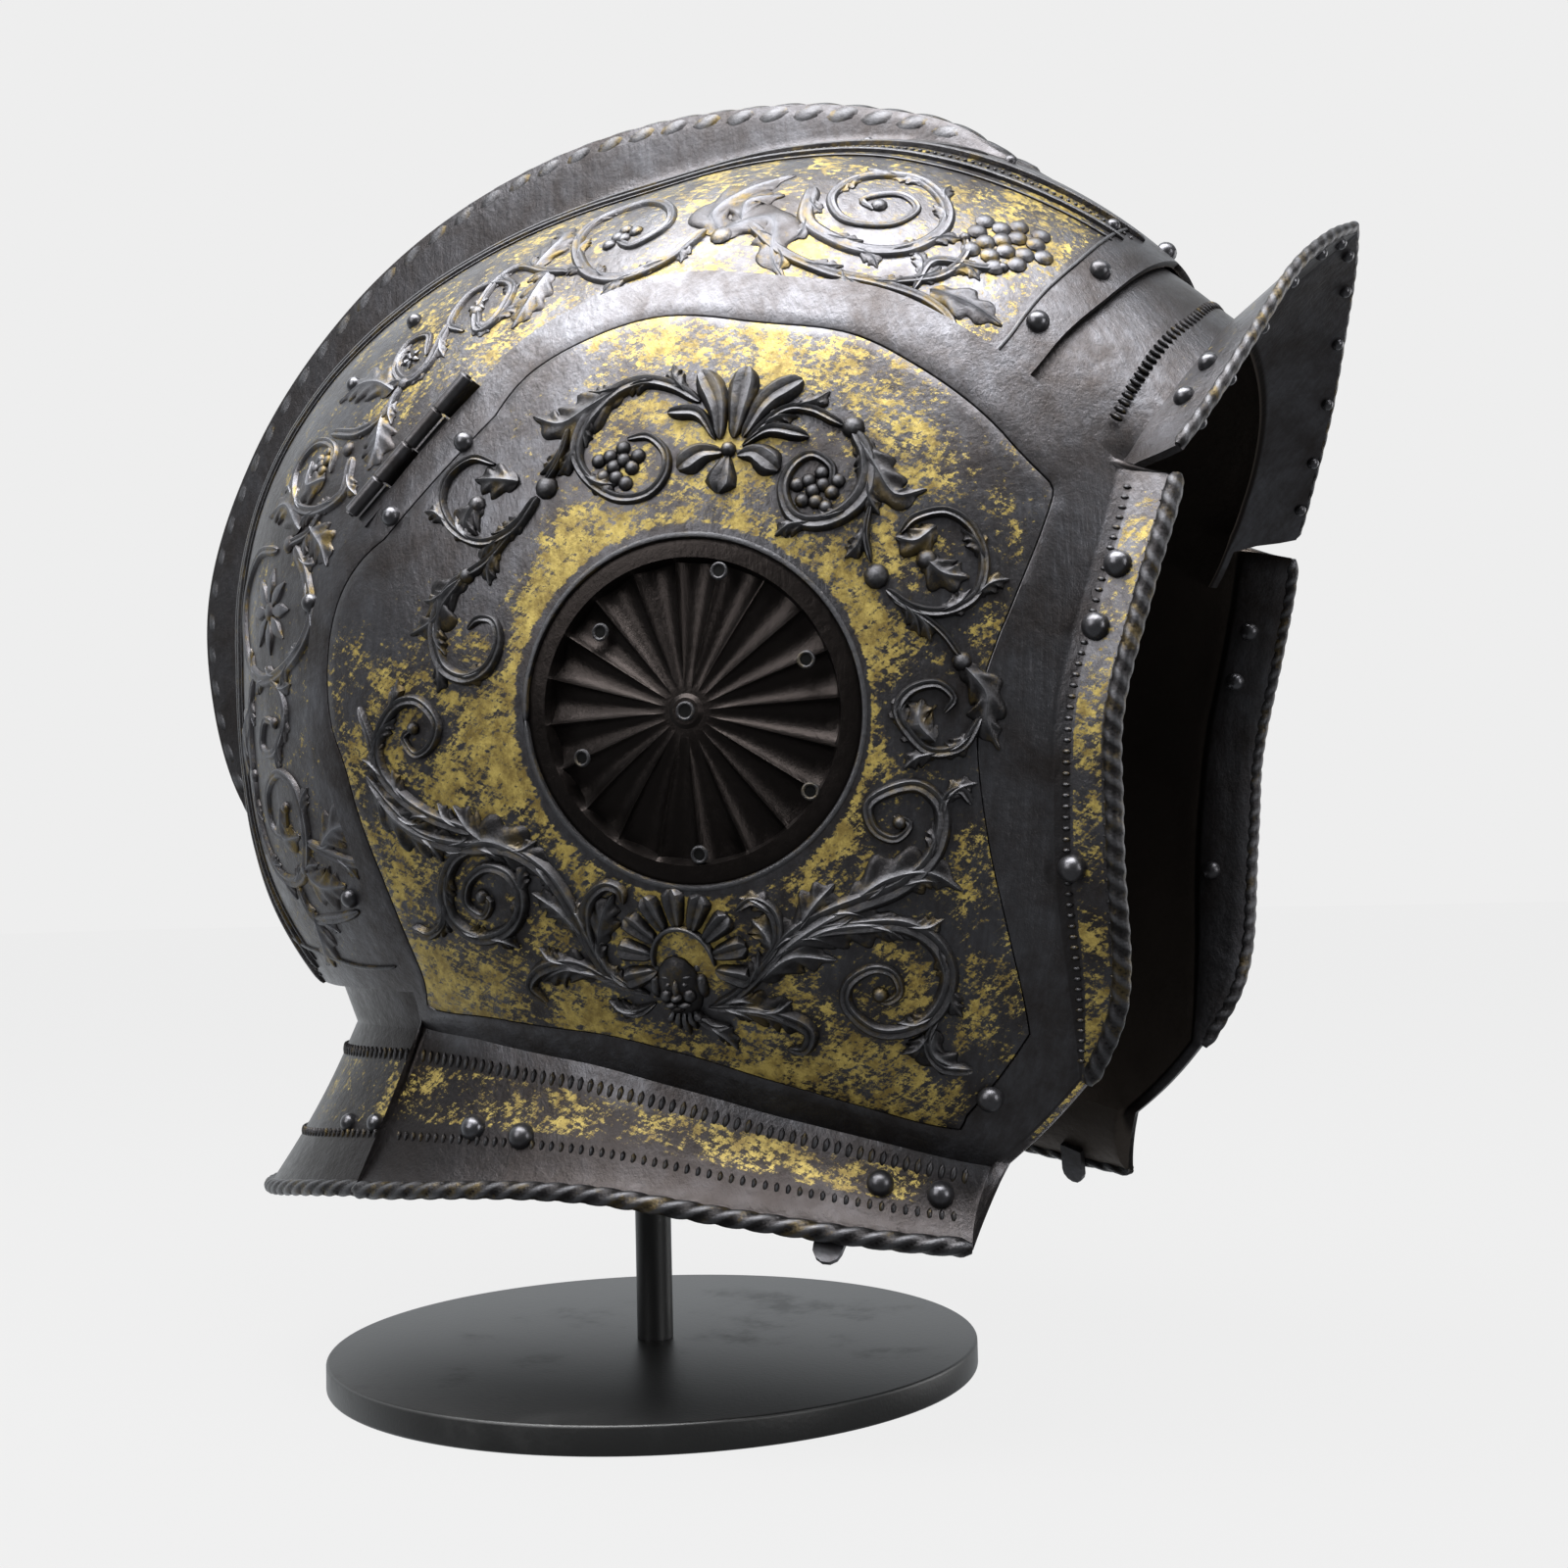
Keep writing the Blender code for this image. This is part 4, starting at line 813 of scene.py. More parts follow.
def cheek_lines():
    """Border of the cheek all round, as places of the frame's columns made finer."""
    column = np.arange(39 * CHEEK_FINE) / CHEEK_FINE
    places = np.zeros((len(column), 2))

    def fill(low, high, made):
        chosen = (column >= low) & (column < high)
        places[chosen] = made(column[chosen])

    fill(0, 1, lambda c: arc(CHEEK_REAR, (0.12 + 0.88 * c) / 7))
    fill(1, 7, lambda c: arc(CHEEK_REAR, c / 7))
    hinge = polar((CHEEK_REAR[-1], CHEEK_TOP[0]))
    fill(7, 10, lambda c: hinge[0] + (hinge[1] - hinge[0]) * ((c - 7) / 3)[:, None])
    fill(10, 18, lambda c: arc(CHEEK_TOP, (c - 10) / 9))
    fill(18, 19, lambda c: arc(CHEEK_TOP, (8 + 0.88 * (c - 18)) / 9))
    fill(19, 20, lambda c: arc(CHEEK_TOP, (8.88 + 0.12 * (c - 19)) / 9))
    fill(20, 28, lambda c: arc(CHEEK_CREASE, (c - 20) / 8))
    fill(28, 29, lambda c: arc(CHEEK_CORNER, 0.9 * (c - 28)))
    fill(29, 30, lambda c: arc(CHEEK_CORNER, 0.9 + 0.1 * (c - 29)))
    fill(30, 38, lambda c: arc(CHEEK_WAIST, (c - 30) / 8))
    ends = polar((CHEEK_WAIST[-1], CHEEK_WAIST[-1]))
    ends[1] = arc(CHEEK_REAR, [0.12 / 7])[0]
    fill(38, 39, lambda c: ends[0] + (ends[1] - ends[0]) * (c - 38)[:, None])
    return column, places


def flange_frame(share):
    """Way out over the face flange and the outward direction of its face."""
    way = along(FLANGE, share) * np.array([-1.0, -1.0, 1.0]) * FLANGE_W
    face = unit(np.cross(way, (0.0, 0.0, 1.0)))
    face[face[:, 0] > 0] *= -1
    return way, face


def collar_frame(share):
    """Waist and rim of the cheek's part of the collar."""
    waist = arc_even(CHEEK_WAIST, share)
    start = cheek_at(waist[:, 0], waist[:, 1])
    rim = rim_at(-113.0 + 151.0 * np.asarray(share), STEP - 0.3)
    return start, rim


def arc_even(line, share):
    """Places on a smooth line of polar rows at shares of its rows."""
    return polar(spread(line, share))


def collar_at(share, reach, lift=0.0):
    """Points on the cheek's collar: share from front to rear, reach from the waist to the rim."""
    share = np.asarray(share, float)
    reach = np.asarray(reach, float)
    waist = arc(CHEEK_WAIST, share)
    start = cheek_at(waist[..., 0], waist[..., 1])
    rim = rim_at(-113.0 + 151.0 * share, STEP - 0.3)
    point = start + (rim - start) * reach[..., None]
    out = level_out(point)
    bulge = np.interp(reach, (0.0, 0.86, 1.0), (0.0, 0.0, 1.0)) - WAIST_CURVE * np.sin(math.pi * reach)
    return point + out * (bulge + lift)[..., None]


def flange_at(share, reach, lift=0.0):
    """Points on the face flange: share from the top to the throat, reach from the crease out."""
    share = np.asarray(share, float)
    reach = np.asarray(reach, float)
    crease = arc(CHEEK_CREASE, share)
    start = cheek_at(crease[..., 0], crease[..., 1])
    way, face = flange_frame(share)
    size = np.linalg.norm(way, axis=-1) / FLANGE_W
    rise = np.interp(reach, (0.0, 0.25, 0.85, 1.0), (0.0, -0.6, 0.0, 0.8)) * size + lift
    return start + way * reach[..., None] + face * rise[..., None]


def cheek_beyond(column, places, reach):
    """Outer and inner points past the border at one reach, for every column."""
    count = len(column)
    share_flange = np.clip((column - 20) / 8, 0, 1)
    share_collar = np.clip((column - 30) / 8, 0, 1)
    full = np.full(count, reach)
    away = unit(places - np.array([ROUNDEL_Y, ROUNDEL_Z]))
    beyond = places + away * (1.2 * reach)
    plain = cheek_at(beyond[:, 0], beyond[:, 1])
    normal, _, _ = facing(side_at, places[:, 0], places[:, 1])
    plain_in = plain - normal * PLATE
    flange = flange_at(share_flange, full)
    _, face = flange_frame(share_flange)
    flange_in = flange - face * PLATE
    collar = collar_at(share_collar, full)
    collar_in = collar - level_out(collar) * PLATE
    corner = (column > 28) & (column < 30)
    drift = cheek_at(places[:, 0], places[:, 1]) - flange_at(np.ones(count), np.zeros(count))
    flange[corner] += drift[corner]
    flange_in[corner] += drift[corner]
    weight_flange = np.clip(column - 19, 0, 1)
    weight_collar = np.clip(column - 29, 0, 1)
    weight_rear = np.clip(column - 38, 0, 1)

    def mix(a, b, c):
        value = a + (b - a) * weight_flange[:, None]
        value = value + (c - value) * weight_collar[:, None]
        return value + (a - value) * weight_rear[:, None]

    return mix(plain, flange, collar), mix(plain_in, flange_in, collar_in)


def cut_share(column, ring, places):
    """Share of the way from the roundel to the border where the cut line lies."""
    inset = steps_of(CUT_LINE, column)
    return 1.0 - inset / np.linalg.norm(places - ring, axis=1)


def stem_places():
    """Places all along the cheek's stems, where the gilding round the ornament is rubbed away and the field is darkened
    with painted shade.
    """
    return np.concatenate([smooth_line(cheek_at, places, 1.6) for _, places in CHEEK_STEMS])


def cheek_gilding(places, stems):
    """How much gilding is left on the cheek's field: least towards the rear; less towards the front edge, which is
    painted shade; and less round the stems, where it is rubbed and painted shade darkens the field.
    """
    y, z = places[..., 0], places[..., 1]
    high = np.clip((z - 180.0) / 20.0, 0.0, 1.0)
    rear = np.clip((y + 38.0) / 26.0, 0.0, 1.0) * high * 0.85
    low_rear = np.clip((y + 8.0) / 25.0, 0.0, 1.0) * (1.0 - high) * 0.12
    # Less gold towards the front edge, as painted shade
    front = np.clip((-104.0 - y) / 20.0, 0.0, 1.0) * 0.36
    # Round the stems the gold is rubbed away and the field darkened with painted shade
    nearest = np.sqrt(((places[:, None, :] - stems[None, :, :]) ** 2).sum(-1).min(-1))
    rubbed_and_shaded = 0.42 * np.exp(-((nearest / 3.6) ** 2))
    crown = np.clip((z - 222.0) / 20.0, 0.0, 1.0) * 0.16
    return np.clip(1.02 - rear - low_rear - front - crown - rubbed_and_shaded, 0.05, 1.0)


def cheek_plate(maker):
    """Right cheek-piece: fluted roundel, field with its cut line, flange and collar."""
    column, places = cheek_lines()
    count = len(column)
    turn = math.radians(-36.0) + 2 * math.pi * np.arange(count) / count
    circle = np.stack([np.cos(turn), np.sin(turn)], axis=-1) * ROUNDEL_R
    centre = np.array([ROUNDEL_Y, ROUNDEL_Z])
    ring = centre + circle
    outer = []
    levels = []
    flute = np.abs(np.sin(turn * FLUTES / 2 + 0.4)) ** 0.55
    shares = [HOLE_R / ROUNDEL_R, 0.06, 0.075, 0.085, 0.10, 0.13]
    shares += list(np.linspace(0.15, 0.84, 14)) + [0.848, 0.86, 0.875, 0.885, 0.895, 0.93, 0.965, 0.975, 0.985, 0.995]
    for share in shares:
        place = centre + circle * share
        normal, _, _ = facing(side_at, place[:, 0], place[:, 1])
        deep = np.interp(share, (0.0, 0.06, 0.075, 0.1, 0.14, 0.3, 0.84, 0.86, 0.96, 0.975, 0.985, 1.0),
                         (0.8, 0.8, 0.8, 1.5, 1.5, 1.2, 1.0, 0.5, 0.5, 0.9, 0.5, 0.0))
        fluted = np.interp(share, (0.0, 0.14, 0.3, 0.8, 0.84, 0.86, 1.0), (0.0, 0.0, 1.3, 3.4, 3.2, 0.0, 0.0))
        sink = deep + fluted * flute
        outer.append(cheek_at(place[:, 0], place[:, 1]) - normal * sink[:, None])
        levels.append(np.full(count, -0.5))
    cut = cut_share(column, ring, places)
    stems = stem_places()
    for index in range(24):
        part = index / 23
        share = part * (cut - 0.006)
        place = ring + (places - ring) * share[:, None]
        outer.append(cheek_at(place[:, 0], place[:, 1]))
        levels.append(cheek_gilding(place, stems) * (0.0 if index == 0 else 1.0))
    for offset, sink, gilt in ((-0.003, 0.1, 1.0), (0.0, 0.75, 0.3), (0.004, 0.1, 0.0), (0.008, 0.0, 0.0)):
        place = ring + (places - ring) * (cut + offset)[:, None]
        normal, _, _ = facing(side_at, place[:, 0], place[:, 1])
        outer.append(cheek_at(place[:, 0], place[:, 1]) - normal * sink)
        levels.append(cheek_gilding(place, stems) * gilt)
    for part in (0.3, 0.6, 0.85, 0.96, 1.0):
        share = cut + 0.008 + (1.0 - cut - 0.008) * part
        place = ring + (places - ring) * share[:, None]
        outer.append(cheek_at(place[:, 0], place[:, 1]))
        levels.append(np.full(count, 0.0))
    band_flange = (0.30, 0.80)
    band_collar = (0.22, 0.60)
    flange_side = np.clip(column - 19.5, 0, 1) * np.clip(29.5 - column, 0, 1)
    collar_side = np.clip(column - 30, 0, 1) * np.clip(38.7 - column, 0, 1)
    for reach in np.linspace(0, 1, 19)[1:]:
        outer.append(cheek_beyond(column, places, reach)[0])
        in_flange = 1.0 if band_flange[0] < reach < band_flange[1] else 0.0
        in_collar = 1.0 if band_collar[0] < reach < band_collar[1] else 0.0
        # Beside their gilt bands the flange's plain steel is set darker and the collar's gets painted shade
        on_flange = flange_side * (0.8 * in_flange - EDGE_DARK * (1.0 - in_flange))
        on_collar = collar_side * (0.78 * in_collar - COLLAR_PAINTED_SHADE * (1.0 - in_collar))
        levels.append(on_flange + on_collar)
    inner = []
    for share, hollow, ridged in ((HOLE_R / ROUNDEL_R, 1.5, 1.5), (0.16, 1.5, 1.5), (0.52, 3.6, 1.5), (0.85, 4.1, 1.0),
                                  (0.90, 1.0, 1.0), (1.0, 0.0, 0.0)):
        place = centre + circle * share
        normal, _, _ = facing(side_at, place[:, 0], place[:, 1])
        sink = ridged + (hollow - ridged) * flute + PLATE
        inner.append(cheek_at(place[:, 0], place[:, 1]) - normal * sink[:, None])
    for share in (0.2, 0.4, 0.6, 0.8, 0.93, 1.0):
        place = ring + (places - ring) * share
        normal, _, _ = facing(side_at, place[:, 0], place[:, 1])
        inner.append(cheek_at(place[:, 0], place[:, 1]) - normal * PLATE)
    for reach in (0.15, 0.3, 0.5, 0.7, 0.85, 1.0):
        inner.append(cheek_beyond(column, places, reach)[1])
    inside = np.full((len(inner), count), -1.0)
    inside[-6:] += flange_side
    plate(maker, np.stack(outer), np.stack(inner), True, np.stack(levels), inside)


def skull_edge_angle(tilt, share):
    """Angle along the bowl for a tilt and a share of the way from front to rear."""
    front = along(FRONT_EDGE, np.minimum(tilt, 46.0))[..., 0]
    rear = along(REAR_EDGE, np.minimum(tilt, 48.0))[..., 0]
    return front * (1.0 - share) + rear * share


def skull_plate(maker):
    """Bowl with its comb, raised in one plate."""
    rows = 34 * SKULL_ROW_FINE
    share = np.linspace(0, 1, rows + 1)[:, None]
    section = np.asarray(COMB_SECTION)
    steps = np.linspace(0, len(section) - 1, (len(section) - 1) * COMB_FINE + 1)
    knots = np.arange(len(section))
    out, part, inside, inner_part = (np.interp(steps, knots, section[:, k])[None, :] for k in range(4))
    tilt = np.degrees(np.arcsin(out / SKULL_W)) + 0 * share
    angle = skull_edge_angle(tilt, share)
    height = comb_height(angle)
    outer = skull_at(angle, tilt, height * part)
    thin = (out > 0) & (out < COMB_FOOT - 5.0) & (height > 0)
    drop = np.where(thin, PLATE * (1.0 - 0.6 * np.minimum(height / 10.0, 1.0)), PLATE)
    tilt_in = np.degrees(np.arcsin(inside / SKULL_W)) + 0 * share
    inner = skull_at(angle, tilt_in, height * inner_part - drop)
    edge_angle = 16.0 + (254.0 - 16.0) * share[:, 0]
    edge = np.degrees(np.arccos(SKULL_R * along(LOWER_EDGE, edge_angle)[:, 0] / bowl_radius(edge_angle)))[:, None]
    foot = math.degrees(math.asin(COMB_FOOT / SKULL_W))
    side = np.linspace(0, 1, 7 * SKULL_SIDE_FINE + 1)[None, 1:]
    side_tilt = foot + (edge - foot) * side
    side_angle = skull_edge_angle(side_tilt, share)
    side_out = skull_at(side_angle, side_tilt)
    normal, _, _ = facing(skull_at, side_angle, side_tilt)
    side_in = side_out - normal * PLATE
    right = np.concatenate([outer, side_out], axis=1)
    right_in = np.concatenate([inner, side_in], axis=1)
    tilts = np.concatenate([tilt, side_tilt], axis=1)
    angles = np.concatenate([angle, side_angle], axis=1)
    gilt = np.clip(tilts - along(MOULDING, angles)[..., 0] + 5, 0.45 * (tilts > COMB_STRIP), 1)
    front = np.clip((angles - skull_front_band(tilts)) / 0.5, 0, 1)
    rear = np.clip((skull_rear_band(tilts) - angles) / 0.5, 0, 1)
    gilt = gilt * front * rear * (0.76 - 0.22 * np.clip((angles - 95.0) / 60.0, 0, 1))
    # The comb's sides are darkened towards the patina colour: painted shade
    gilt = gilt - COMB_PAINTED_SHADE * np.clip((tilts < COMB_SHADE) * comb_height(angles) / 4.0, 0.0, 1.0)
    flip = np.array([-1.0, 1.0, 1.0])
    whole = np.concatenate([right[:, :0:-1] * flip, right], axis=1)
    whole_in = np.concatenate([right_in[:, :0:-1] * flip, right_in], axis=1)
    levels = np.concatenate([gilt[:, :0:-1], gilt], axis=1)
    plate(maker, whole, whole_in, False, levels)


def skull_front_band(tilt):
    """Angle where the plain band at the bowl's front edge ends."""
    return along(FRONT_EDGE, np.minimum(tilt, 46.0))[..., 0] + FRONT_BAND


def skull_rear_band(tilt):
    """Angle where the plain band over the bowl's rear edge starts."""
    return along(REAR_EDGE, np.minimum(tilt, 48.0))[..., 0] - REAR_BAND


def brow_grids():
    """Outer and inner grids of the brow plate and its peak, right side from the middle out."""
    shares = list(np.linspace(0, 1, 8 * 8 + 1))
    tails = [0.0] * len(shares)
    for tail in (0.08, 0.16, 0.3, 0.53, 0.77, 1.0):
        shares.append(1.0)
        tails.append(tail)
    share = np.array(shares)
    tail = np.array(tails)
    lines = []
    for line, rest in zip((BROW_SEAM, BROW_LINE, BROW_CREASE), BROW_TAIL):
        place = spread(line, share)
        lines.append(place + (np.array(rest) - place) * tail[:, None])
    fade = share**4
    rises = (-0.5 - (LAP - 0.5) * fade, 0.8 - (LAP + 0.8) * fade)
    seam, line, crease = lines
    outer = [skull_at(seam[:, 0] + 5.0, seam[:, 1], -LAP)]
    inner = [skull_at(seam[:, 0] + 5.0, seam[:, 1], -LAP - PLATE)]
    for part in (0.0, 0.2, 0.4, 0.6, 0.8, 1.0):
        place = seam + (line - seam) * part
        outer.append(skull_at(place[:, 0], place[:, 1], -LAP + (rises[0] + LAP) * part))
        inner.append(outer[-1] - facing(skull_at, place[:, 0], place[:, 1])[0] * PLATE)
    corner = skull_at(crease[:, 0], crease[:, 1], rises[1])
    for part in (0.3, 0.6, 0.85):
        place = line + (crease - line) * part
        point = outer[6] + (corner - outer[6]) * part
        outer.append(point)
        inner.append(point - facing(skull_at, place[:, 0], place[:, 1])[0] * PLATE)
    reach = spread(PEAK_EDGE, share) * SKULL_R
    edge = np.stack([-reach[:, 0], SKULL_Y - reach[:, 1], SKULL_Z + reach[:, 2]], axis=-1)
    bare = spread(BROW_CREASE, share)
    middle = skull_at(bare[:, 0], bare[:, 1])
    ahead = spread(BROW_CREASE, np.minimum(share + 0.02, 1.0))
    behind = spread(BROW_CREASE, np.maximum(share - 0.02, 0.0))
    way = edge - middle
    run = skull_at(ahead[:, 0], ahead[:, 1]) - skull_at(behind[:, 0], behind[:, 1])
    under = unit(np.cross(way, run))
    under[0] = unit(np.array([0.0, -way[0][2], way[0][1]]))
    under[under[:, 2] > 0] *= -1
    size = np.where(tail == 0.0, 1.0, 0.07)
    size[len(size) - 6:len(size) - 4] = (0.75, 0.4)
    outer.append(corner)
    crease_out = facing(skull_at, crease[:, 0], crease[:, 1])[0]
    inner.append(corner + unit(under - crease_out) * PLATE * 1.25)
    for share_out in (0.06, 0.14, 0.25, 0.4, 0.55, 0.7, 0.82, 0.92, 1.0):
        point = corner + (edge - middle) * (share_out * size)[:, None]
        outer.append(point)
        inner.append(point + under * PLATE)
    return np.stack(outer), np.stack(inner), under


def brow_plate(maker):
    """Brow plate with its turned-up pointed peak."""
    outer, inner, _ = brow_grids()
    flip = np.array([-1.0, 1.0, 1.0])
    whole = np.concatenate([outer[:, :0:-1] * flip, outer], axis=1)
    whole_in = np.concatenate([inner[:, :0:-1] * flip, inner], axis=1)
    gilt = np.zeros(whole.shape[:2])
    gilt[8:10] = 0.4
    gilt[11:16] = 0.5
    inside = np.full(gilt.shape, -1.0)
    inside[-9:] = 0.0
    plate(maker, whole, whole_in, False, gilt, inside)


def nape_at(turn, reach, lift=0.0):
    """Points on the nape plate: turn round the neck from the rear, reach from the waist to the rim."""
    turn = np.asarray(turn, float)
    reach = np.asarray(reach, float)
    height, wide, deep = NAPE_RINGS[-1]
    side = np.radians(turn)
    waist = np.stack([-wide * np.sin(side), SKULL_Y + deep * np.cos(side), np.full(turn.shape, height)], axis=-1)
    rim = rim_at(SKULL_Y + (RIM_REAR - 0.3) * np.cos(side), -0.3)
    point = waist + (rim - waist) * reach[..., None]
    bulge = lift - WAIST_CURVE * np.sin(math.pi * reach)
    return point + level_out(point) * bulge[..., None]


def nape_plate(maker):
    """Neck plate at the rear, from under the bowl to the rim."""
    turn = np.linspace(-NAPE_TURN, NAPE_TURN, 181)
    side = np.radians(np.abs(turn))
    outer = []
    rings = np.asarray(NAPE_RINGS)
    for place in np.linspace(0, 2, 7)[:-1]:
        height, wide, deep = (np.interp(place, (0, 1, 2), rings[:, k]) for k in range(3))
        point = np.stack([-wide * np.sin(side), SKULL_Y + deep * np.cos(side), np.full(turn.shape, height)], axis=-1)
        outer.append(point)
    for reach in np.linspace(0, 1, 20):
        outer.append(nape_at(np.abs(turn), np.full(turn.shape, reach)))
    outer = np.stack(outer)
    outer[..., 0] *= np.where(turn < 0, -1.0, 1.0)[None, :]
    inner = outer - level_out(outer) * PLATE
    inner[0, :, 2] -= 1.2
    # Beyond the gilt band the nape's plain steel is darkened towards the patina colour: painted shade
    gilt = np.full(outer.shape[:2], -EDGE_DARK)
    gilt[10:18] = 0.6
    plate(maker, outer, inner, False, gilt)


def cheek_relief(maker):
    """Scrolls, leaves, flower, shell and mask on the cheek's field."""
    for widths, places in CHEEK_STEMS:
        ridge(maker, cheek_at, places, [wide * STEM_WIDE for wide in widths], 1.8, ribs=2)
        sprigs(maker, cheek_at, places, 8.0, 1.7)
    for width, lobes, places in CHEEK_LEAVES:
        leaf(maker, cheek_at, places, width, lobes)
    for width, places in CHEEK_PETALS:
        ridge(maker, cheek_at, places, [width * wide for wide in (0.5, 0.8, 1.25, 1.4, 0.9)], 2.1, ribs=2, taper=1.6)
    for y, z, radius, count in CHEEK_GRAPES:
        grapes(maker, cheek_at, (y, z), radius, count)
    for y, z, radius in CHEEK_KNOTS:
        boss(maker, cheek_at, (y, z), radius, 1.9)
    shell_fan(maker)
    mask(maker)


def shell_fan(maker):
    """Shell of fluted lobes above the mask, with a plain arc round its foot."""
    y, z, inside, outside, lobes, first, last = SHELL
    for index in range(lobes):
        turn = math.radians(first + (last - first) * index / (lobes - 1))
        way = np.array([-math.cos(turn), math.sin(turn)])
        start = (y, z) + way * inside
        end = (y, z) + way * outside
        wide = (outside + inside) * math.pi / lobes * 0.55
        ridge(maker, cheek_at, (start, (start + end) / 2, end), [wide * part for part in (0.75, 1.0, 1.3, 1.5)], 2.1, ribs=2, taper=1.4)
    turns = np.radians(np.linspace(-6, 186, 13))
    ring = [(y - math.cos(turn) * inside, z + math.sin(turn) * inside) for turn in turns]
    ridge(maker, cheek_at, ring, (1.2, 1.6, 1.2), 1.7)


def mask(maker):
    """Small plain grotesque mask with leafy whiskers, of no one in particular."""
    y, z = MASK
    normal, _, _ = facing(cheek_at, np.array([y]), np.array([z]))
    up = np.array([0.0, 0.0, 1.0])
    centre = cheek_at(y, z)
    across = np.cross(normal[0], up)

    def put(side, height, sizes, rise, out=0.0, shade=1.0):
        place = centre + across * side + up * height + normal[0] * out
        dome(maker, place, normal[0], sizes, rise, up, steps=14, shade=shade)

    # A shade below one darkens a part with painted shade: the face a little, the two eye sockets and one small boss low
    # on the face fully
    put(0.0, 0.0, (7.6, 5.6), 2.0, 0.0, 0.6)
    put(0.0, 4.4, (1.7, 4.3), 1.0, 1.5)
    for side in (-1, 1):
        put(side * 2.3, 1.5, (1.3, 1.7), 0.7, 1.5, 0.0)
        put(side * 2.2, 1.3, (0.6, 0.75), 0.8, 2.0)
        put(side * 2.4, 3.0, (0.7, 2.1), 1.3, 1.6)
        put(side * 3.0, -1.5, (1.6, 1.6), 1.3, 1.2)
        put(side * 6.2, 0.4, (3.0, 1.4), 1.9)
        put(side * 1.7, -3.4, (0.7, 1.7), 1.0, 1.5)
    for turn in (-80, -56, -32, -8, 16, 40, 64, 88):
        place = math.radians(turn - 4)
        put(math.sin(place) * 6.2, 1.4 + math.cos(place) * 6.6, (1.5, 1.5), 2.2)
    put(0.0, 0.2, (2.4, 0.8), 1.9, 1.6)
    put(0.0, -1.6, (0.9, 1.4), 1.6, 1.9)
    put(0.0, -4.4, (0.8, 1.6), 0.8, 1.5, 0.0)
    for lock in (-2, -1, 0, 1, 2):
        foot = (y - lock * 1.3, z - 5.0)
        tip = (y - lock * 2.1, z - 10.5 + abs(lock) * 1.3)
        ridge(maker, cheek_at, (foot, tip), (2.2, 2.4, 0.7), 2.3)


def cheek_trim(maker):
    """Tick rows of the flange and the collar, and the ring round the roundel."""
    share = np.linspace(0.02, 0.98, 90)
    for reach, size in ((0.22, (1.0, 0.55)), (0.86, (1.0, 0.55))):
        points = flange_at(share, np.full(90, reach))
        _, face = flange_frame(share)
        ticks(maker, points, face, 2.3, size, 0.55)
    for reach, size in ((0.17, (1.9, 0.75)), (0.66, (1.4, 0.6))):
        points = collar_at(share, np.full(90, reach))
        ticks(maker, points, level_out(points), 2.6, size, 0.6)
    for distance, width in ((0.985, 1.6),):
        turns = np.linspace(0, 2 * math.pi, 49)
        if distance > 0.5:
            ring = [(ROUNDEL_Y + math.cos(t) * ROUNDEL_R * distance, ROUNDEL_Z + math.sin(t) * ROUNDEL_R * distance)
                    for t in turns]
            ridge(maker, cheek_at, ring, (width, width), 0.5, base=-0.3)


def holes(maker, rims):
    """Small holes of the roundel and its middle, each with a plug of painted shadow."""
    for turn, share in ROUNDEL_HOLES:
        y = ROUNDEL_Y + math.cos(math.radians(turn)) * ROUNDEL_R * share
        z = ROUNDEL_Z + math.sin(math.radians(turn)) * ROUNDEL_R * share
        normal, _, _ = facing(cheek_at, np.array([y]), np.array([z]))
        centre = cheek_at(y, z) - normal[0] * 1.0
        hole(maker, rims, centre, normal[0], 1.3)
    normal, _, _ = facing(cheek_at, np.array([ROUNDEL_Y]), np.array([ROUNDEL_Z]))
    hole(maker, rims, cheek_at(ROUNDEL_Y, ROUNDEL_Z) - normal[0] * 0.95, normal[0], 1.45)


def hole(maker, rims, centre, normal, radius):
    """Near-black plug of painted shadow in a hole, and the ring round it."""
    across = unit(np.cross(normal, (0.2, 0.3, 0.9)))
    other = np.cross(normal, across)
    turns = np.linspace(0, 2 * math.pi, 24, endpoint=False)
    ring = np.outer(np.cos(turns), across) + np.outer(np.sin(turns), other)
    rows = ((radius, -1.2), (radius, 0.25))
    points = [centre + ring * reach + normal * rise for reach, rise in rows]
    faces = grid_faces(2, 24, True)
    faces += [tuple(range(24)), tuple(range(24, 48))]
    maker.add(np.concatenate(points), faces)
    section = []
    for turn in np.linspace(0, 2 * math.pi, 8, endpoint=False):
        section.append(centre + ring * (radius + 0.3 + 0.42 * math.cos(turn)) + normal * (0.15 + 0.42 * math.sin(turn)))
    grid = np.stack(section, axis=0)
    faces = grid_faces(8, 24, True)
    faces += [(7 * 24 + col, 7 * 24 + (col + 1) % 24, (col + 1) % 24, col) for col in range(24)]
    rims.add(grid, faces, np.full((8, 24), 0.8))


def skull_relief(maker):
    """Scroll band between the mouldings and the cheek."""
    for widths, places in SKULL_STEMS:
        ridge(maker, skull_at, places, [wide * STEM_WIDE * 1.1 for wide in widths], 1.0, ribs=2)
        sprigs(maker, skull_at, places, 8.0, 0.9)
    for width, lobes, places in SKULL_LEAVES:
        leaf(maker, skull_at, places, width * 1.15, lobes, 1.1)
    for angle, tilt, radius, count in SKULL_GRAPES:
        grapes(maker, skull_at, (angle, tilt), radius, count, 1.1)
    for angle, tilt, radius, petals in SKULL_BLOOMS:
        bloom(maker, skull_at, (angle, tilt), radius, petals, 0.9)
    for angle, tilt, radius in SKULL_KNOTS:
        boss(maker, skull_at, (angle, tilt), radius, 1.2)


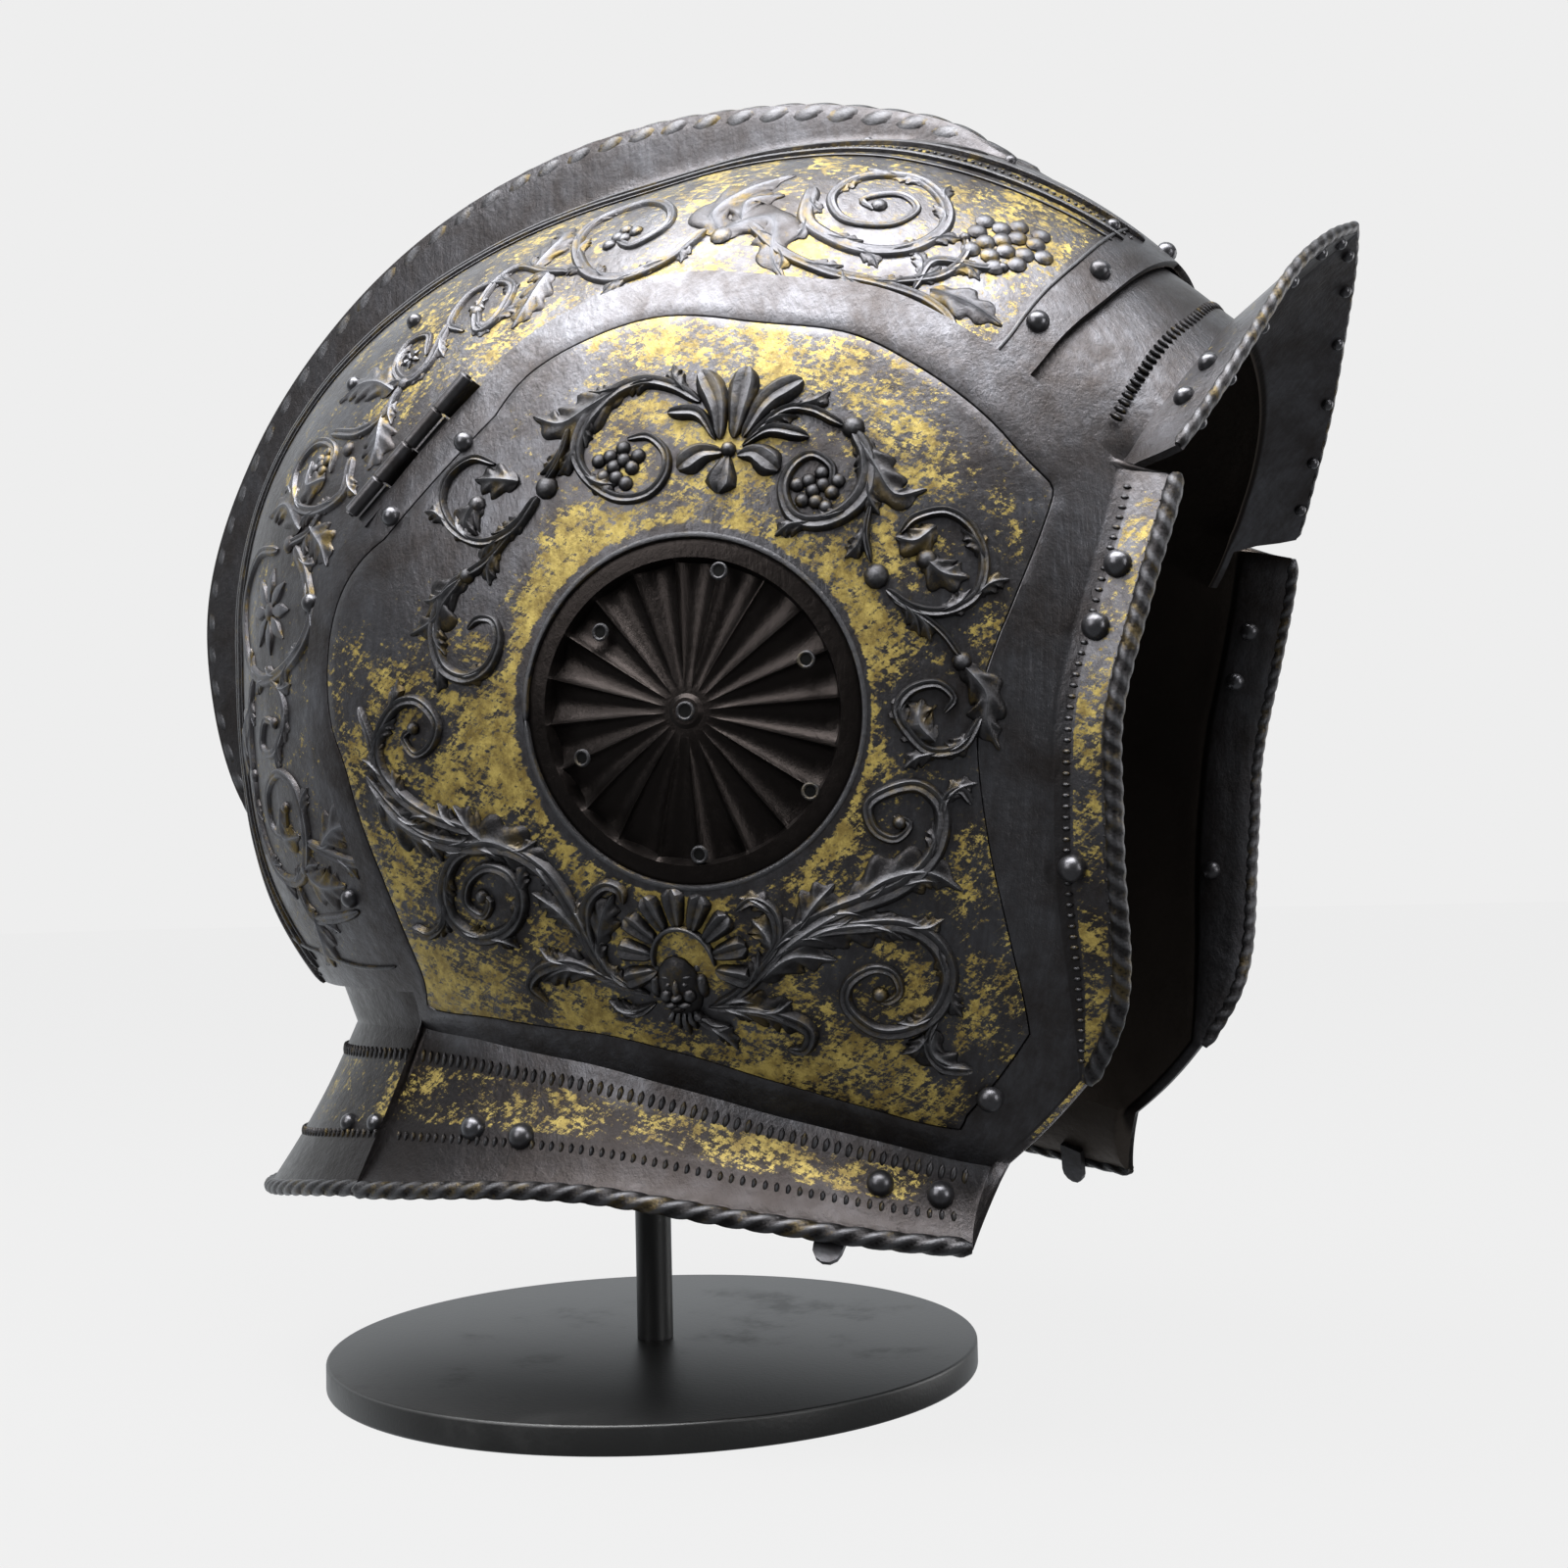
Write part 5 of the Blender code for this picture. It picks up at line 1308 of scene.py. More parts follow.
def moulding_line(step, first=31.0, last=226.0, count=24):
    """Places of a moulding some degrees out from the first one."""
    angle = np.linspace(first, last, count)
    tilt = along(MOULDING, angle)[:, 0] + step
    return np.stack([angle, tilt], axis=-1)


def skull_trim(maker):
    """Mouldings and tick rows that run beside the comb and the plain bands at both ends."""
    ridge(maker, skull_at, moulding_line(0.0), (2.2, 3.0, 2.2), 1.3)
    ridge(maker, skull_at, moulding_line(MOULDING_STEP), (1.8, 2.4, 1.8), 1.0)
    ridge(maker, skull_at, moulding_line(MOULDING_STEP + 2.4), (0.8, 0.8, 0.8), 0.5)
    foot = [(angle, COMB_STRIP) for angle in range(48, 216, 12)]
    ridge(maker, skull_at, foot, (1.2, 1.8, 1.2), 0.8)
    line = smooth_line(skull_at, moulding_line(MOULDING_STEP / 2))
    points = skull_at(line[:, 0], line[:, 1])
    normal, _, _ = facing(skull_at, line[:, 0], line[:, 1])
    ticks(maker, points, normal, 1.9, (0.6, 0.6), 0.5)
    tilt = np.linspace(9.0, 46.0, 12)
    front = np.stack([skull_front_band(tilt), tilt], axis=-1)
    ridge(maker, skull_at, front, (1.2, 1.2), 0.6)
    tilt = np.linspace(2.0, 47.0, 12)
    rear = np.stack([skull_rear_band(tilt), tilt], axis=-1)
    ridge(maker, skull_at, rear, (1.4, 1.4), 0.7)


def comb_rope(maker):
    """Roped crest of the comb, whole in the middle plane."""
    angle = np.linspace(44.0, 211.0, 300)
    turn = np.radians(angle)
    reach = bowl_radius(angle) + comb_height(angle) - 4.1
    points = np.stack([0 * turn, SKULL_Y - reach * np.cos(turn), SKULL_Z + reach * np.sin(turn)], axis=-1)
    outward = np.stack([0 * turn, -np.cos(turn), np.sin(turn)], axis=-1)
    rope(maker, points, outward, 5.0, 10.0, strands=2, depth=0.17)


def edge_ropes(maker):
    """Roped edges of the right flange and collar."""
    share = np.linspace(0.0, 1.0, 120)
    points = flange_at(share, np.full(120, 0.985))
    _, face = flange_frame(share)
    rope(maker, points, face, 2.1, 4.2)
    share = np.linspace(0.0, 1.0, 160)
    points = collar_at(share, np.full(160, 0.985), -0.4)
    rope(maker, points, level_out(points), 2.2, 6.4, strands=3, depth=0.32)


def nape_trim(maker, relief):
    """Roped rim and tick rows of the nape plate."""
    turn = np.linspace(-NAPE_TURN, NAPE_TURN, 241)

    def line(reach, lift):
        points = nape_at(np.abs(turn), np.full(turn.shape, reach), lift)
        points[:, 0] *= np.where(turn < 0, -1.0, 1.0)
        return points

    points = line(0.985, -0.6)
    rope(maker, points, level_out(points), 2.1, 6.4, strands=3, depth=0.32)
    for reach, size in ((0.17, (1.9, 0.75)), (0.66, (1.4, 0.6))):
        points = line(reach, 0.0)
        ticks(relief, points, level_out(points), 2.6, size, 0.6)


def brow_trim(maker, ropes):
    """Tick rows of the brow plate and the rolled edge of its peak."""
    outer, _, under = brow_grids()
    flip = np.array([-1.0, 1.0, 1.0])

    def both(points):
        return np.concatenate([points[:0:-1] * flip, points])

    place = spread(BROW_LINE, np.linspace(0.0, 0.92, 65))
    points = skull_at(place[:, 0], place[:, 1], -0.6)
    normal = facing(skull_at, place[:, 0], place[:, 1])[0]
    ticks(maker, both(points), both(normal), 2.1, (1.5, 0.55), 0.6)
    edge = outer[-1][:65]
    out = under[:65] * -1.0
    rope(ropes, both(edge + out * 0.2 * -1), both(out), 1.5, 4.6)


def rivet_dome(maker, place, normal, radius):
    """Domed rivet head on a thin washer line."""
    dome(maker, place + normal * 0.2, normal, radius, radius * 0.86, steps=24)


def right_rivets(on_bowl, on_cheek):
    """Rivet heads of the right side."""
    for y, z, radius in SKULL_RIVETS:
        rivet_dome(on_bowl, side_at(y, z), facing(side_at, np.array([y]), np.array([z]))[0][0], radius)
    for angle, tilt, radius in BAND_RIVETS:
        normal = facing(skull_at, np.array([angle]), np.array([tilt]))[0][0]
        rivet_dome(on_bowl, skull_at(angle, tilt), normal, radius)
    for angle, tilt, radius in BROW_RIVETS[:2]:
        normal = facing(skull_at, np.array([angle]), np.array([tilt]))[0][0]
        rivet_dome(on_bowl, skull_at(angle, tilt), normal, radius)
    for y, z, radius in CHEEK_RIVETS:
        rivet_dome(on_cheek, cheek_at(y, z), facing(side_at, np.array([y]), np.array([z]))[0][0], radius)
    for share, reach in FLANGE_RIVETS:
        place = spread(CHEEK_CREASE, np.array([share]))
        start = cheek_at(*polar(place)[0])
        way, face = flange_frame(np.array([share]))
        rivet_dome(on_cheek, start + way[0] * reach - face[0] * 0.1, face[0], 3.0)
        rivet_dome(on_cheek, start + way[0] * reach - face[0] * (PLATE - 0.1), -face[0], 2.5)
    for y, reach, radius in COLLAR_RIVETS:
        share = np.array([(y + 113.0) / 151.0])
        place = collar_at(share, np.array([reach]))[0]
        beside = collar_at(share + 0.02, np.array([reach]))[0]
        below = collar_at(share, np.array([reach + 0.05]))[0]
        normal = unit(np.cross(below - place, beside - place))
        rivet_dome(on_cheek, place, normal if normal[0] < 0 else -normal, radius)
    for turn, radius in NAPE_RIVETS:
        reach = np.array([0.59])
        place = nape_at(np.array([turn]), reach)[0]
        beside = nape_at(np.array([turn + 1.0]), reach)[0]
        below = nape_at(np.array([turn]), reach + 0.05)[0]
        normal = unit(np.cross(below - place, beside - place))
        rivet_dome(on_bowl, place, normal if normal[0] < 0 else -normal, radius)
    outer, inner, _ = brow_grids()
    for share in BROW_BAND_RIVETS:
        col = int(round(share * 64))
        middle = outer[14][col]
        rivet_dome(on_bowl, middle, unit(outer[14][col] - inner[14][col]), 2.4)
    for share in PEAK_DOTS:
        col = int(round(share * 64))
        rivet_dome(on_bowl, inner[-2][col], unit(inner[-2][col] - outer[-2][col]), 1.5)


def hinge_barrels():
    """Makers of the right hinge's barrels: those on the bowl and those on the cheek."""
    top, low = (side_at(SKULL_Y + SKULL_R * back, SKULL_Z + SKULL_R * over, HINGE_LIFT) for back, over in HINGE_ENDS)
    way = unit(low - top)
    middle = (top + low) / 2
    outward = facing(side_at, middle[1:2], middle[2:3])[0][0]
    outward = unit(outward - way * (outward @ way))
    cheekward = np.cross(outward, way)
    if cheekward @ (np.array([0.0, ROUNDEL_Y, ROUNDEL_Z]) - middle) < 0:
        cheekward = -cheekward
    length = np.linalg.norm(low - top) / 4
    makers = (Maker(), Maker())
    for index in range(4):
        maker = makers[index % 2]
        start = top + way * (length * index + GAP / 2)
        reach = length - GAP
        rows = ((BARREL_R - 0.3, 0.0), (BARREL_R, 0.3), (BARREL_R, reach - 0.3), (BARREL_R - 0.3, reach))
        turned(maker, rows, 28, start, way)
        if index % 2:
            corner = start + outward * (OVER - HINGE_LIFT + 0.55) + cheekward * (BARREL_R * 0.6)
            block(maker, corner, way * reach, cheekward * LEAF_REACH, outward * -0.9)
        else:
            corner = start - cheekward * (LEAF_T / 2) - outward * (BARREL_R * 0.6)
            block(maker, corner, way * reach, cheekward * LEAF_T, outward * -(HINGE_LIFT - BARREL_R * 0.6 + 0.4))
    return makers


def block(maker, corner, a, b, c):
    """Six-sided block from a corner and three edges."""
    points = [corner + a * i + b * j + c * k for i in (0, 1) for j in (0, 1) for k in (0, 1)]
    faces = ((0, 1, 3, 2), (4, 6, 7, 5), (0, 4, 5, 1), (2, 3, 7, 6), (0, 2, 6, 4), (1, 5, 7, 3))
    maker.add(points, faces)


def stand(disc, rod):
    """Plain disc and rod."""
    edge = DISC_EDGE
    rows = [(0.5, 0.0), (DISC_R - edge, 0.0)]
    for turn in np.radians((22.5, 45, 67.5, 90)):
        rows.append((DISC_R - edge + edge * math.sin(turn), edge - edge * math.cos(turn)))
    for turn in np.radians((0, 22.5, 45, 67.5, 90)):
        rows.append((DISC_R - edge + edge * math.cos(turn), DISC_T - edge + edge * math.sin(turn)))
    rows.append((0.5, DISC_T))
    turned(disc, rows, 160)
    rows = ((POST_R, DISC_T + 0.05), (POST_R, PAD_TOP_Z - 11.0), (PAD_R, PAD_TOP_Z - 6.5),
            (PAD_R, PAD_TOP_Z - 4.1), (PAD_R * 0.55, PAD_TOP_Z - 1.3), (0.4, PAD_TOP_Z))
    turned(rod, rows, 48)


class Paint:
    """Node tree of one procedural material."""

    def __init__(self, name):
        self.material = bpy.data.materials.new(name)
        self.material.use_nodes = True
        self.tree = self.material.node_tree
        self.shader = self.tree.nodes["Principled BSDF"]
        self.place = self.tree.nodes.new("ShaderNodeTexCoord").outputs["Object"]

    def plug(self, socket, value):
        """A value or another node's output goes into a socket."""
        if isinstance(value, bpy.types.NodeSocket):
            self.tree.links.new(value, socket)
        elif isinstance(value, tuple) and len(value) == 3 and socket.type == "RGBA":
            socket.default_value = (*value, 1.0)
        else:
            socket.default_value = value

    def stretched(self, scale, turn=(0.0, 0.0, 0.0)):
        """Places turned first, then scaled, so that streaks lie aslant."""
        turned_place = self.tree.nodes.new("ShaderNodeMapping")
        scaled_place = self.tree.nodes.new("ShaderNodeMapping")
        self.plug(turned_place.inputs["Vector"], self.place)
        turned_place.inputs["Rotation"].default_value = [math.radians(angle) for angle in turn]
        self.plug(scaled_place.inputs["Vector"], turned_place.outputs["Vector"])
        scaled_place.inputs["Scale"].default_value = scale
        return scaled_place.outputs["Vector"]

    def noise(self, scale, detail=4.0, rough=0.6, vector=None, distortion=0.0):
        node = self.tree.nodes.new("ShaderNodeTexNoise")
        self.plug(node.inputs["Vector"], vector or self.place)
        node.inputs["Scale"].default_value = scale
        node.inputs["Detail"].default_value = detail
        node.inputs["Roughness"].default_value = rough
        node.inputs["Distortion"].default_value = distortion
        return node.outputs["Fac"]

    def cells(self, scale):
        node = self.tree.nodes.new("ShaderNodeTexVoronoi")
        self.plug(node.inputs["Vector"], self.place)
        node.inputs["Scale"].default_value = scale
        return node.outputs["Distance"]

    def ranged(self, value, low, high, new_low=0.0, new_high=1.0):
        """Smooth step of a value from one range to another."""
        node = self.tree.nodes.new("ShaderNodeMapRange")
        node.interpolation_type = "SMOOTHSTEP"
        self.plug(node.inputs["Value"], value)
        for name, number in (("From Min", low), ("From Max", high), ("To Min", new_low), ("To Max", new_high)):
            self.plug(node.inputs[name], number)
        return node.outputs["Result"]

    def maths(self, operation, a, b=0.0):
        node = self.tree.nodes.new("ShaderNodeMath")
        node.operation = operation
        self.plug(node.inputs[0], a)
        self.plug(node.inputs[1], b)
        return node.outputs[0]

    def mixed(self, share, a, b):
        node = self.tree.nodes.new("ShaderNodeMix")
        node.data_type = "RGBA"
        self.plug(node.inputs[0], share)
        self.plug(node.inputs[6], a)
        self.plug(node.inputs[7], b)
        return node.outputs[2]

    def relief(self):
        node = self.tree.nodes.new("ShaderNodeAttribute")
        node.attribute_name = "relief"
        return node.outputs["Fac"]

    def bump(self, height, strength, distance=0.0006, under=None):
        node = self.tree.nodes.new("ShaderNodeBump")
        self.plug(node.inputs["Height"], height)
        node.inputs["Strength"].default_value = strength
        node.inputs["Distance"].default_value = distance
        if under:
            self.plug(node.inputs["Normal"], under)
        return node.outputs["Normal"]

    def over_slope(self, slope):
        """Height over a slope that rises towards the rear, in metres, at rest."""
        node = self.tree.nodes.new("ShaderNodeSeparateXYZ")
        self.plug(node.inputs[0], self.place)
        return self.maths("SUBTRACT", node.outputs["Z"], self.maths("MULTIPLY", node.outputs["Y"], slope))

    def finish(self, colour, rough, metal, normal=None):
        self.plug(self.shader.inputs["Base Color"], colour)
        self.plug(self.shader.inputs["Roughness"], rough)
        self.plug(self.shader.inputs["Metallic"], metal)
        if normal:
            self.plug(self.shader.inputs["Normal"], normal)
        return self.material


def steel_base(paint, dark, light):
    """Mottled patina of old steel: colour, streaks and wear values."""
    mottle = paint.ranged(paint.noise(48.0, 9.0, 0.72, distortion=0.3), 0.3, 0.72)
    streaks = paint.noise(1.0, 5.0, 0.65, paint.stretched((900.0, 260.0, 60.0), (0.0, 0.0, 18.0)))
    fine = paint.noise(620.0, 3.0, 0.6)
    tone = paint.maths("MULTIPLY", mottle, paint.ranged(streaks, 0.3, 0.7, 0.6, 1.0))
    return paint.mixed(tone, dark, light), mottle, streaks, fine


def gilt_steel():
    """Dark steel with worn gilding where the relief attribute says so; below zero the attribute gives patina and
    painted shade, and low on the collar the steel is darkened with painted shade.
    """
    paint = Paint("gilt steel")
    base, mottle, streaks, fine = steel_base(paint, BLACK_STEEL, BLUE_STEEL)
    # Low on the collar, under a height that rises towards the rear, the steel is darkened towards the patina colour:
    # painted shade
    low = paint.ranged(paint.over_slope(COLLAR_SLOPE), COLLAR_TOP - 0.006, COLLAR_TOP, 0.8, 0.0)
    base = paint.mixed(low, base, PATINA_AND_SHADE)
    relief = paint.relief()
    # Relief below zero turns the steel to the patina colour: patina on the roundel, painted shade on the comb's sides,
    # the collar and the nape, darker plain steel on the flange
    patina_and_shade = paint.ranged(relief, -0.5, -0.1, 1.0, 0.0)
    inside = paint.ranged(relief, -0.95, -0.7, 1.0, 0.0)
    brushed = paint.noise(1.0, 6.0, 0.75, paint.stretched((1000.0, 200.0, 1000.0), (35.0, 0.0, 0.0)))
    crossed = paint.noise(1.0, 6.0, 0.75, paint.stretched((1000.0, 260.0, 1000.0), (-20.0, 0.0, 0.0)))
    worn = paint.maths("ADD", paint.maths("MULTIPLY", brushed, 0.5), paint.maths("MULTIPLY", crossed, 0.5))
    patches = paint.noise(42.0, 14.0, 0.82, distortion=0.15)
    wear = paint.maths("ADD", worn, paint.maths("MULTIPLY", paint.maths("SUBTRACT", patches, 0.5), 1.0))
    thin = paint.maths("MULTIPLY", paint.maths("SUBTRACT", relief, 1.0), 0.3)
    cover = paint.ranged(paint.maths("ADD", wear, thin), 0.44, 0.51)
    cover = paint.maths("MULTIPLY", cover, paint.ranged(relief, 0.05, 0.3))
    gold = paint.mixed(paint.ranged(paint.noise(210.0, 8.0, 0.75), 0.36, 0.66), DEEP_GOLD, PALE_GOLD)
    colour = paint.mixed(cover, base, gold)
    colour = paint.mixed(patina_and_shade, colour, PATINA_AND_SHADE)
    colour = paint.mixed(inside, colour, INSIDE_STEEL)
    rough = paint.maths("ADD", paint.ranged(mottle, 0.0, 1.0, 0.32, 0.255), paint.maths("MULTIPLY", fine, 0.18))
    rough = paint.maths("ADD", rough, paint.maths("MULTIPLY", inside, 0.2))
    rough = paint.maths("ADD", rough, paint.maths("MULTIPLY", cover, 0.1))
    metal = paint.maths("SUBTRACT", 0.95, paint.maths("MULTIPLY", cover, 0.45))
    hammered = paint.bump(paint.noise(90.0, 2.0, 0.5), 0.3, 0.0012)
    pitted = paint.bump(paint.noise(1500.0, 3.0, 0.7), 0.45, 0.00015, hammered)
    normal = paint.bump(paint.maths("ADD", streaks, fine), 0.4, 0.00028, pitted)
    return paint.finish(colour, rough, metal, normal)


def chased_steel(name, hollow, dull, bright, gold):
    """Raised ornament: painted shade darkens its hollows, rubbed bright on the tops, with traces of gold."""
    paint = Paint(name)
    base, mottle, _, fine = steel_base(paint, hollow, dull)
    tops = paint.ranged(paint.maths("ADD", paint.relief(), paint.maths("MULTIPLY", fine, 0.3)), 0.75, 1.25)
    traces = paint.maths("MULTIPLY", paint.ranged(paint.noise(130.0, 6.0, 0.7), 0.5, 0.62), gold)
    colour = paint.mixed(traces, base, DEEP_GOLD)
    colour = paint.mixed(tops, colour, bright)
    # Where the relief attribute is low, at the feet of ridges, bosses and leaves and in the grooves of ropes, the
    # colour turns to the hollow colour: painted shade
    colour = paint.mixed(paint.ranged(paint.relief(), 0.0, 0.45), hollow, colour)
    rough = paint.ranged(mottle, 0.0, 1.0, 0.5, 0.36)
    normal = paint.bump(paint.noise(900.0, 5.0, 0.7), 0.6, 0.0003)
    return paint.finish(colour, rough, 0.92, normal)


def dark_metal(name, dark, light, rough):
    """Plain dark metal of pins, knuckles and rivets, and the near-black painted shadow in the holes."""
    paint = Paint(name)
    base, mottle, _, fine = steel_base(paint, dark, light)
    normal = paint.bump(fine, 0.3, 0.0002)
    return paint.finish(base, paint.ranged(mottle, 0.0, 1.0, rough + 0.1, rough), 0.9, normal)


def stand_black():
    """Matt black coating of the stand, with a faint grain and a little dust."""
    paint = Paint("matt black")
    dust = paint.ranged(paint.noise(28.0, 5.0, 0.7), 0.5, 0.8)
    colour = paint.mixed(dust, (0.005, 0.005, 0.005), (0.011, 0.011, 0.011))
    normal = paint.bump(paint.noise(900.0, 2.0), 0.25, 0.0002)
    return paint.finish(colour, paint.ranged(dust, 0.0, 1.0, 0.42, 0.55), 0.0, normal)


def pale_floor():
    """Plain pale studio floor."""
    paint = Paint("pale floor")
    tone = paint.mixed(paint.noise(3.0, 2.0), (FLOOR_TONE,) * 3, (FLOOR_TONE * 1.03,) * 3)
    paint.plug(paint.shader.inputs["Emission Color"], (1.0, 1.0, 1.0))
    paint.shader.inputs["Emission Strength"].default_value = FLOOR_GLOW
    paint.shader.inputs["Specular IOR Level"].default_value = 0.0
    return paint.finish(tone, 0.9, 0.0)


def add_camera():
    """Camera that sees the helmet as the photo does."""
    lens = bpy.data.cameras.new("camera")
    lens.sensor_fit = "HORIZONTAL"
    lens.sensor_width = 36.0
    lens.lens = CAMERA_LENS
    lens.clip_start = 0.01
    camera = bpy.data.objects.new("camera", lens)
    rows = Matrix((CAMERA_RIGHT, CAMERA_UP, [-value for value in CAMERA_AHEAD])).transposed()
    camera.matrix_world = Matrix.Translation(CAMERA_PLACE) @ rows.to_4x4()
    bpy.context.scene.collection.objects.link(camera)
    bpy.context.scene.camera = camera


def add_lamp(name, place, target, size, power, colour=(1.0, 1.0, 1.0)):
    """Rectangular soft light aimed at a point."""
    data = bpy.data.lights.new(name, "AREA")
    data.shape = "RECTANGLE"
    data.size, data.size_y = size
    data.energy = power
    data.color = colour
    lamp = bpy.data.objects.new(name, data)
    lamp.location = place
    lamp.rotation_euler = (Vector(target) - Vector(place)).to_track_quat("-Z", "Y").to_euler()
    bpy.context.scene.collection.objects.link(lamp)
    lamp.visible_camera = False


def add_world():
    """Pale even backdrop that lights the object softly, more from above than from below."""
    world = bpy.data.worlds.new("studio")
    world.use_nodes = True
    tree = world.node_tree
    light = tree.nodes["Background"]
    backdrop = tree.nodes.new("ShaderNodeBackground")
    backdrop.inputs["Color"].default_value = (BACK_LEVEL, BACK_LEVEL, BACK_LEVEL, 1.0)
    place = tree.nodes.new("ShaderNodeTexCoord")
    level = FRONT_LEVEL
    sides = ((FAR_SIDE, 0.0, 0.95, FAR_LEVEL), ((0, 0, 1), 0.2, 0.95, SKY_LEVEL), ((0, 0, -1), 0.05, 0.8, GROUND_LEVEL))
    for way, start, end, height in sides:
        share = tree.nodes.new("ShaderNodeVectorMath")
        share.operation = "DOT_PRODUCT"
        share.inputs[1].default_value = way
        step = tree.nodes.new("ShaderNodeMapRange")
        step.interpolation_type = "SMOOTHSTEP"
        for name, number in (("From Min", start), ("From Max", end), ("To Min", 0.0), ("To Max", height)):
            step.inputs[name].default_value = number
        total = tree.nodes.new("ShaderNodeMath")
        tree.links.new(place.outputs["Generated"], share.inputs[0])
        tree.links.new(share.outputs["Value"], step.inputs["Value"])
        tree.links.new(step.outputs["Result"], total.inputs[0])
        if isinstance(level, float):
            total.inputs[1].default_value = level
        else:
            tree.links.new(level, total.inputs[1])
        level = total.outputs[0]
    seen = tree.nodes.new("ShaderNodeLightPath")
    choice = tree.nodes.new("ShaderNodeMixShader")
    tree.links.new(level, light.inputs["Strength"])
    tree.links.new(seen.outputs["Is Camera Ray"], choice.inputs[0])
    tree.links.new(light.outputs[0], choice.inputs[1])
    tree.links.new(backdrop.outputs[0], choice.inputs[2])
    tree.links.new(choice.outputs[0], tree.nodes["World Output"].inputs["Surface"])
    light.inputs["Color"].default_value = (0.93, 0.97, 1.0, 1.0)
    bpy.context.scene.world = world


def add_surroundings():
    """Plain floor, pale backdrop and soft lights."""
    add_world()
    bpy.context.scene.view_settings.view_transform = "Standard"
    mesh = bpy.data.meshes.new("floor")
    reach = FLOOR_REACH
    mesh.from_pydata([(-reach, -reach, 0), (reach, -reach, 0), (reach, reach, 0), (-reach, reach, 0)], [], [(0, 1, 2, 3)])
    mesh.materials.append(pale_floor())
    floor = bpy.data.objects.new("floor", mesh)
    bpy.context.scene.collection.objects.link(floor)
    floor.visible_glossy = False
    for lamp in LAMPS:
        add_lamp(*lamp)


